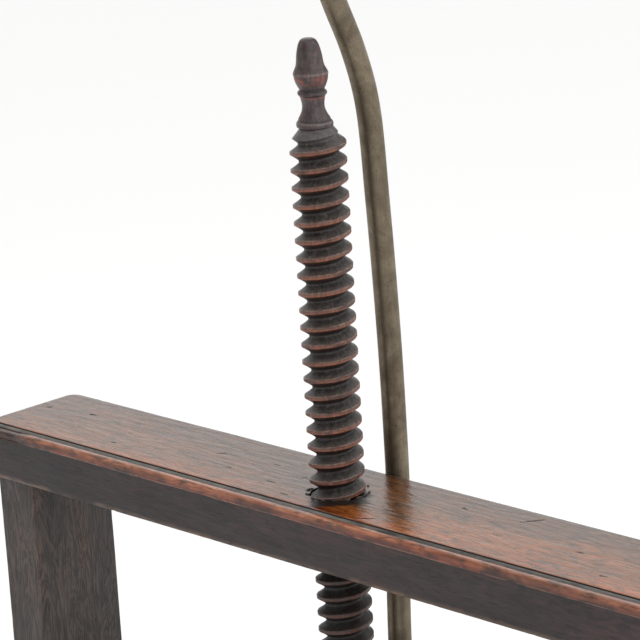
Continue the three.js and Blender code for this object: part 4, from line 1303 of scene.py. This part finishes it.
def base_board():
    low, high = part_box("base_board")
    outline = moulded_outline(low.y, high.y, low.z, high.z, 6 * MM)
    board = swept_board("base_board_moulded", outline, 0, low.x, high.x, 5 * MM)
    paint_board(board, 81, linear(52, 40, 36), linear(80, 56, 46), linear(122, 86, 66),
                (0.08, 0.016, 0.016), 0.3)
    weather(board, 0.6 * MM, 82)
    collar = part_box("tube_collar")
    y = (collar[0].y + collar[1].y) / 2
    under, over, tube_hole = low.z - 5 * MM, high.z + 5 * MM, 8.25 * MM
    cutters = [drill((0, y, under), (0, y, over), tube_hole)]
    for x in (-TENON_X, TENON_X):
        cutters.append(block((x - MORTISE_HALF_X, -MORTISE_HALF_Y, under),
                             (x + MORTISE_HALF_X, MORTISE_HALF_Y, over)))
    cut(board, *cutters)
    return dress(board, "board", "frame", "base_board")


def feet():
    for i in (1, 2, 3, 4):
        low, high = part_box(f"foot_{i}")
        outline = rectangle(low, high, 4 * MM, 4 * MM)
        foot = swept_board(f"foot_pad_{i}", outline, 2, low.z, high.z, 3 * MM, 1.4 * MM)
        paint_board(foot, 90 + i, linear(44, 35, 32), linear(66, 50, 43), linear(100, 74, 60))
        middle = (low + high) / 2
        under, recess, screw_hole = -5 * MM, 6 * MM, 5.4 * MM
        cut(foot, drill((middle.x, middle.y, under), (middle.x, middle.y, recess), screw_hole))
        dress(foot, "board", "frame", f"foot_{i}")
        slotted_screw(f"foot_screw_{i}", 2, -1, "steel", 4.6)


def beam_pegs():
    for side in ("left", "right"):
        for word in ("front", "back"):
            node = f"beam_peg_{side}_{word}"
            low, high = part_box(node)
            sign = 1 if side == "right" else -1
            near, far = (low.x, high.x) if sign > 0 else (high.x, low.x)
            long = abs(far - near)
            profile = [(0, 0), (4 * MM, 0), (4 * MM, long - 0.7 * MM), (3.6 * MM, long - 0.3 * MM),
                       (2.4 * MM, long), (0, long)]
            centre = (near, (low.y + high.y) / 2, (low.z + high.z) / 2)
            peg = revolve(node + "_turned", [(r, z * sign) for r, z in profile], 32, centre, 0)
            dress(peg, "key", "frame", node)


# ---------------------------------------------------------------- platen
def platen_board():
    low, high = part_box("platen_board")
    post_x, post_y, notch = 264.5 * MM, 36.5 * MM, 14 * MM
    tube_y = 32 * MM
    edge, inside = 1.6 * MM, 2.5 * MM
    corners = [
        (low.x, low.y, edge), (high.x, low.y, edge), (high.x, -post_y, edge), (post_x, -post_y, inside),
        (post_x, post_y, inside), (high.x, post_y, edge), (high.x, high.y, edge), (notch, high.y, edge),
        (notch, tube_y, inside), (-notch, tube_y, inside), (-notch, high.y, edge), (low.x, high.y, edge),
        (low.x, post_y, edge), (-post_x, post_y, inside), (-post_x, -post_y, inside),
        (low.x, -post_y, edge),
    ]
    outline = rounded(corners, 5 * MM)
    board = swept_board("platen_board_planed", outline, 2, low.z, high.z, 4 * MM, 1.4 * MM)
    paint_board(board, 101, linear(58, 44, 38), linear(88, 62, 50), linear(130, 94, 72),
                (0.09, 0.018, 0.018), 0.35)
    return dress(board, "board", "platen", "platen_board")


def platen_cleat():
    low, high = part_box("platen_cleat")
    cut_back = 6 * MM
    corners = [
        (low.x + cut_back, low.y), (high.x - cut_back, low.y), (high.x, low.y + cut_back),
        (high.x, high.y - cut_back), (high.x - cut_back, high.y), (low.x + cut_back, high.y),
        (low.x, high.y - cut_back), (low.x, low.y + cut_back)]
    outline = rounded([(x, y, 1.5 * MM) for x, y in corners], 3 * MM)
    cleat = swept_board("platen_cleat_planed", outline, 2, low.z, high.z, 3 * MM, 1.8 * MM)
    paint_board(cleat, 111, linear(62, 46, 38), linear(92, 64, 50), linear(136, 98, 74),
                (0.05, 0.012, 0.012), 0.35)
    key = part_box("garter_key_front")
    play, past, toe_hole = 0.3 * MM, 5 * MM, 14.8 * MM
    slot_low = (key[0].x - play, low.y - past, key[0].z - play)
    slot_high = (key[1].x + play, high.y + past, key[1].z + play)
    cut(cleat, drill((0, 0, low.z - past), (0, 0, high.z + past), toe_hole),
        block(slot_low, slot_high))
    dress(cleat, "board", "platen", "platen_cleat")
    for i in (1, 2, 3, 4):
        node = f"cleat_dowel_{i}"
        low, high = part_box(node)
        long = (high.z - low.z) / MM
        ring(node, node + "_turned", [
            (0, 0), (4.5, 0), (4.5, long - 0.6), (4.1, long - 0.2), (3, long), (0, long)],
             "peg_z", "peg_wood", "platen", 1.5 * MM, 32)
    ring("thrust_disc", "thrust_disc_turned", [
        (0, 0), (13.6, 0), (14, 0.4), (14, 1.8), (13.6, 2.2), (0, 2.2)],
         "steel", "dark_steel", "platen", 0.6 * MM)
    for word in ("front", "back"):
        soften(f"garter_key_{word}", "key", 0.5 * MM)


# ---------------------------------------------------------------- press pin
def press_pin():
    low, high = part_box("press_pin")
    long = (high.z - low.z) / MM
    x = (low.x + high.x) / 2
    profile = [
        (0, 0), (3.6, 0), (4.8, 0.5), (5.7, 2), (6.1, 4), (6.3, 20), (6.5, 60), (6.5, long - 16.2),
        (7.6, long - 15.9), (8.6, long - 15.3), (9.9, long - 13.2), (10.5, long - 10.6), (10.5, long - 8.4),
        (10.0, long - 5.8), (8.6, long - 3.0), (6.6, long - 1.2), (4.0, long - 0.3), (0, long)]
    points = eased([(r * MM, z * MM) for r, z in profile], 1.0 * MM, 1)
    pin = revolve("press_pin_forged", points, 48, (x, 0, low.z))
    dress(pin, "steel", "pin", "press_pin")
    for node in ("pin_eye_upper", "pin_eye_lower"):
        eye(node, x)


def eye(node, x):
    """A forged ring on a shank that is driven into the post."""
    low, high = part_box(node)
    height = (low.z + high.z) / 2
    inner, outer, half = 7.4 * MM, 10.7 * MM, (high.z - low.z) / 2
    angles = np.linspace(0, 2 * math.pi, 21)[:-1]
    middle, reach = (inner + outer) / 2, (outer - inner) / 2
    section = [(middle + reach * math.copysign(abs(math.cos(a)) ** 0.7, math.cos(a)),
                half * math.copysign(abs(math.sin(a)) ** 0.7, math.sin(a))) for a in angles]
    hoop = revolve("hoop", section, 56, (x, 0, height))
    shank = revolve("shank", eased([(0, low.x), (2.1 * MM, low.x), (2.3 * MM, low.x + 12 * MM),
                                    (2.5 * MM, x - inner - 1 * MM), (0, x - inner - 1 * MM)], 1.5 * MM, 0),
                    28, (0, 0, height), 0)
    piece = join_objects(node + "_forged", hoop, shank)
    return dress(piece, "steel", "frame", node)


def soften(node, material, width):
    """Keeps a CAD node and rounds its arrises."""
    obj = frame["nodes"][node]
    weld = obj.modifiers.new("weld", "WELD")
    weld.merge_threshold = 0.00001
    bevel = obj.modifiers.new("bevel", "BEVEL")
    bevel.width = width
    bevel.segments = 3
    bevel.limit_method = "ANGLE"
    bevel.angle_limit = math.radians(28)
    obj.data.materials.clear()
    obj.data.materials.append(MATERIALS[material])
    return obj


# ---------------------------------------------------------------- build
add_camera()
add_studio()
add_floor()
top_beam()
beam_pegs()
post("post_left", "left_post", 51)
post("post_right", "right_post", 61)
base_board()
feet()
press_screw()
screw_head()
platen_board()
platen_cleat()
lamp_tube()
tube_fixings()
lampholder()
press_pin()
for side in ("left", "right"):
    for word in ("front", "back"):
        soften(f"wedge_{side}_{word}", "peg_z", 0.3 * MM)
soften("tube_nut", "brass", 0.6 * MM)
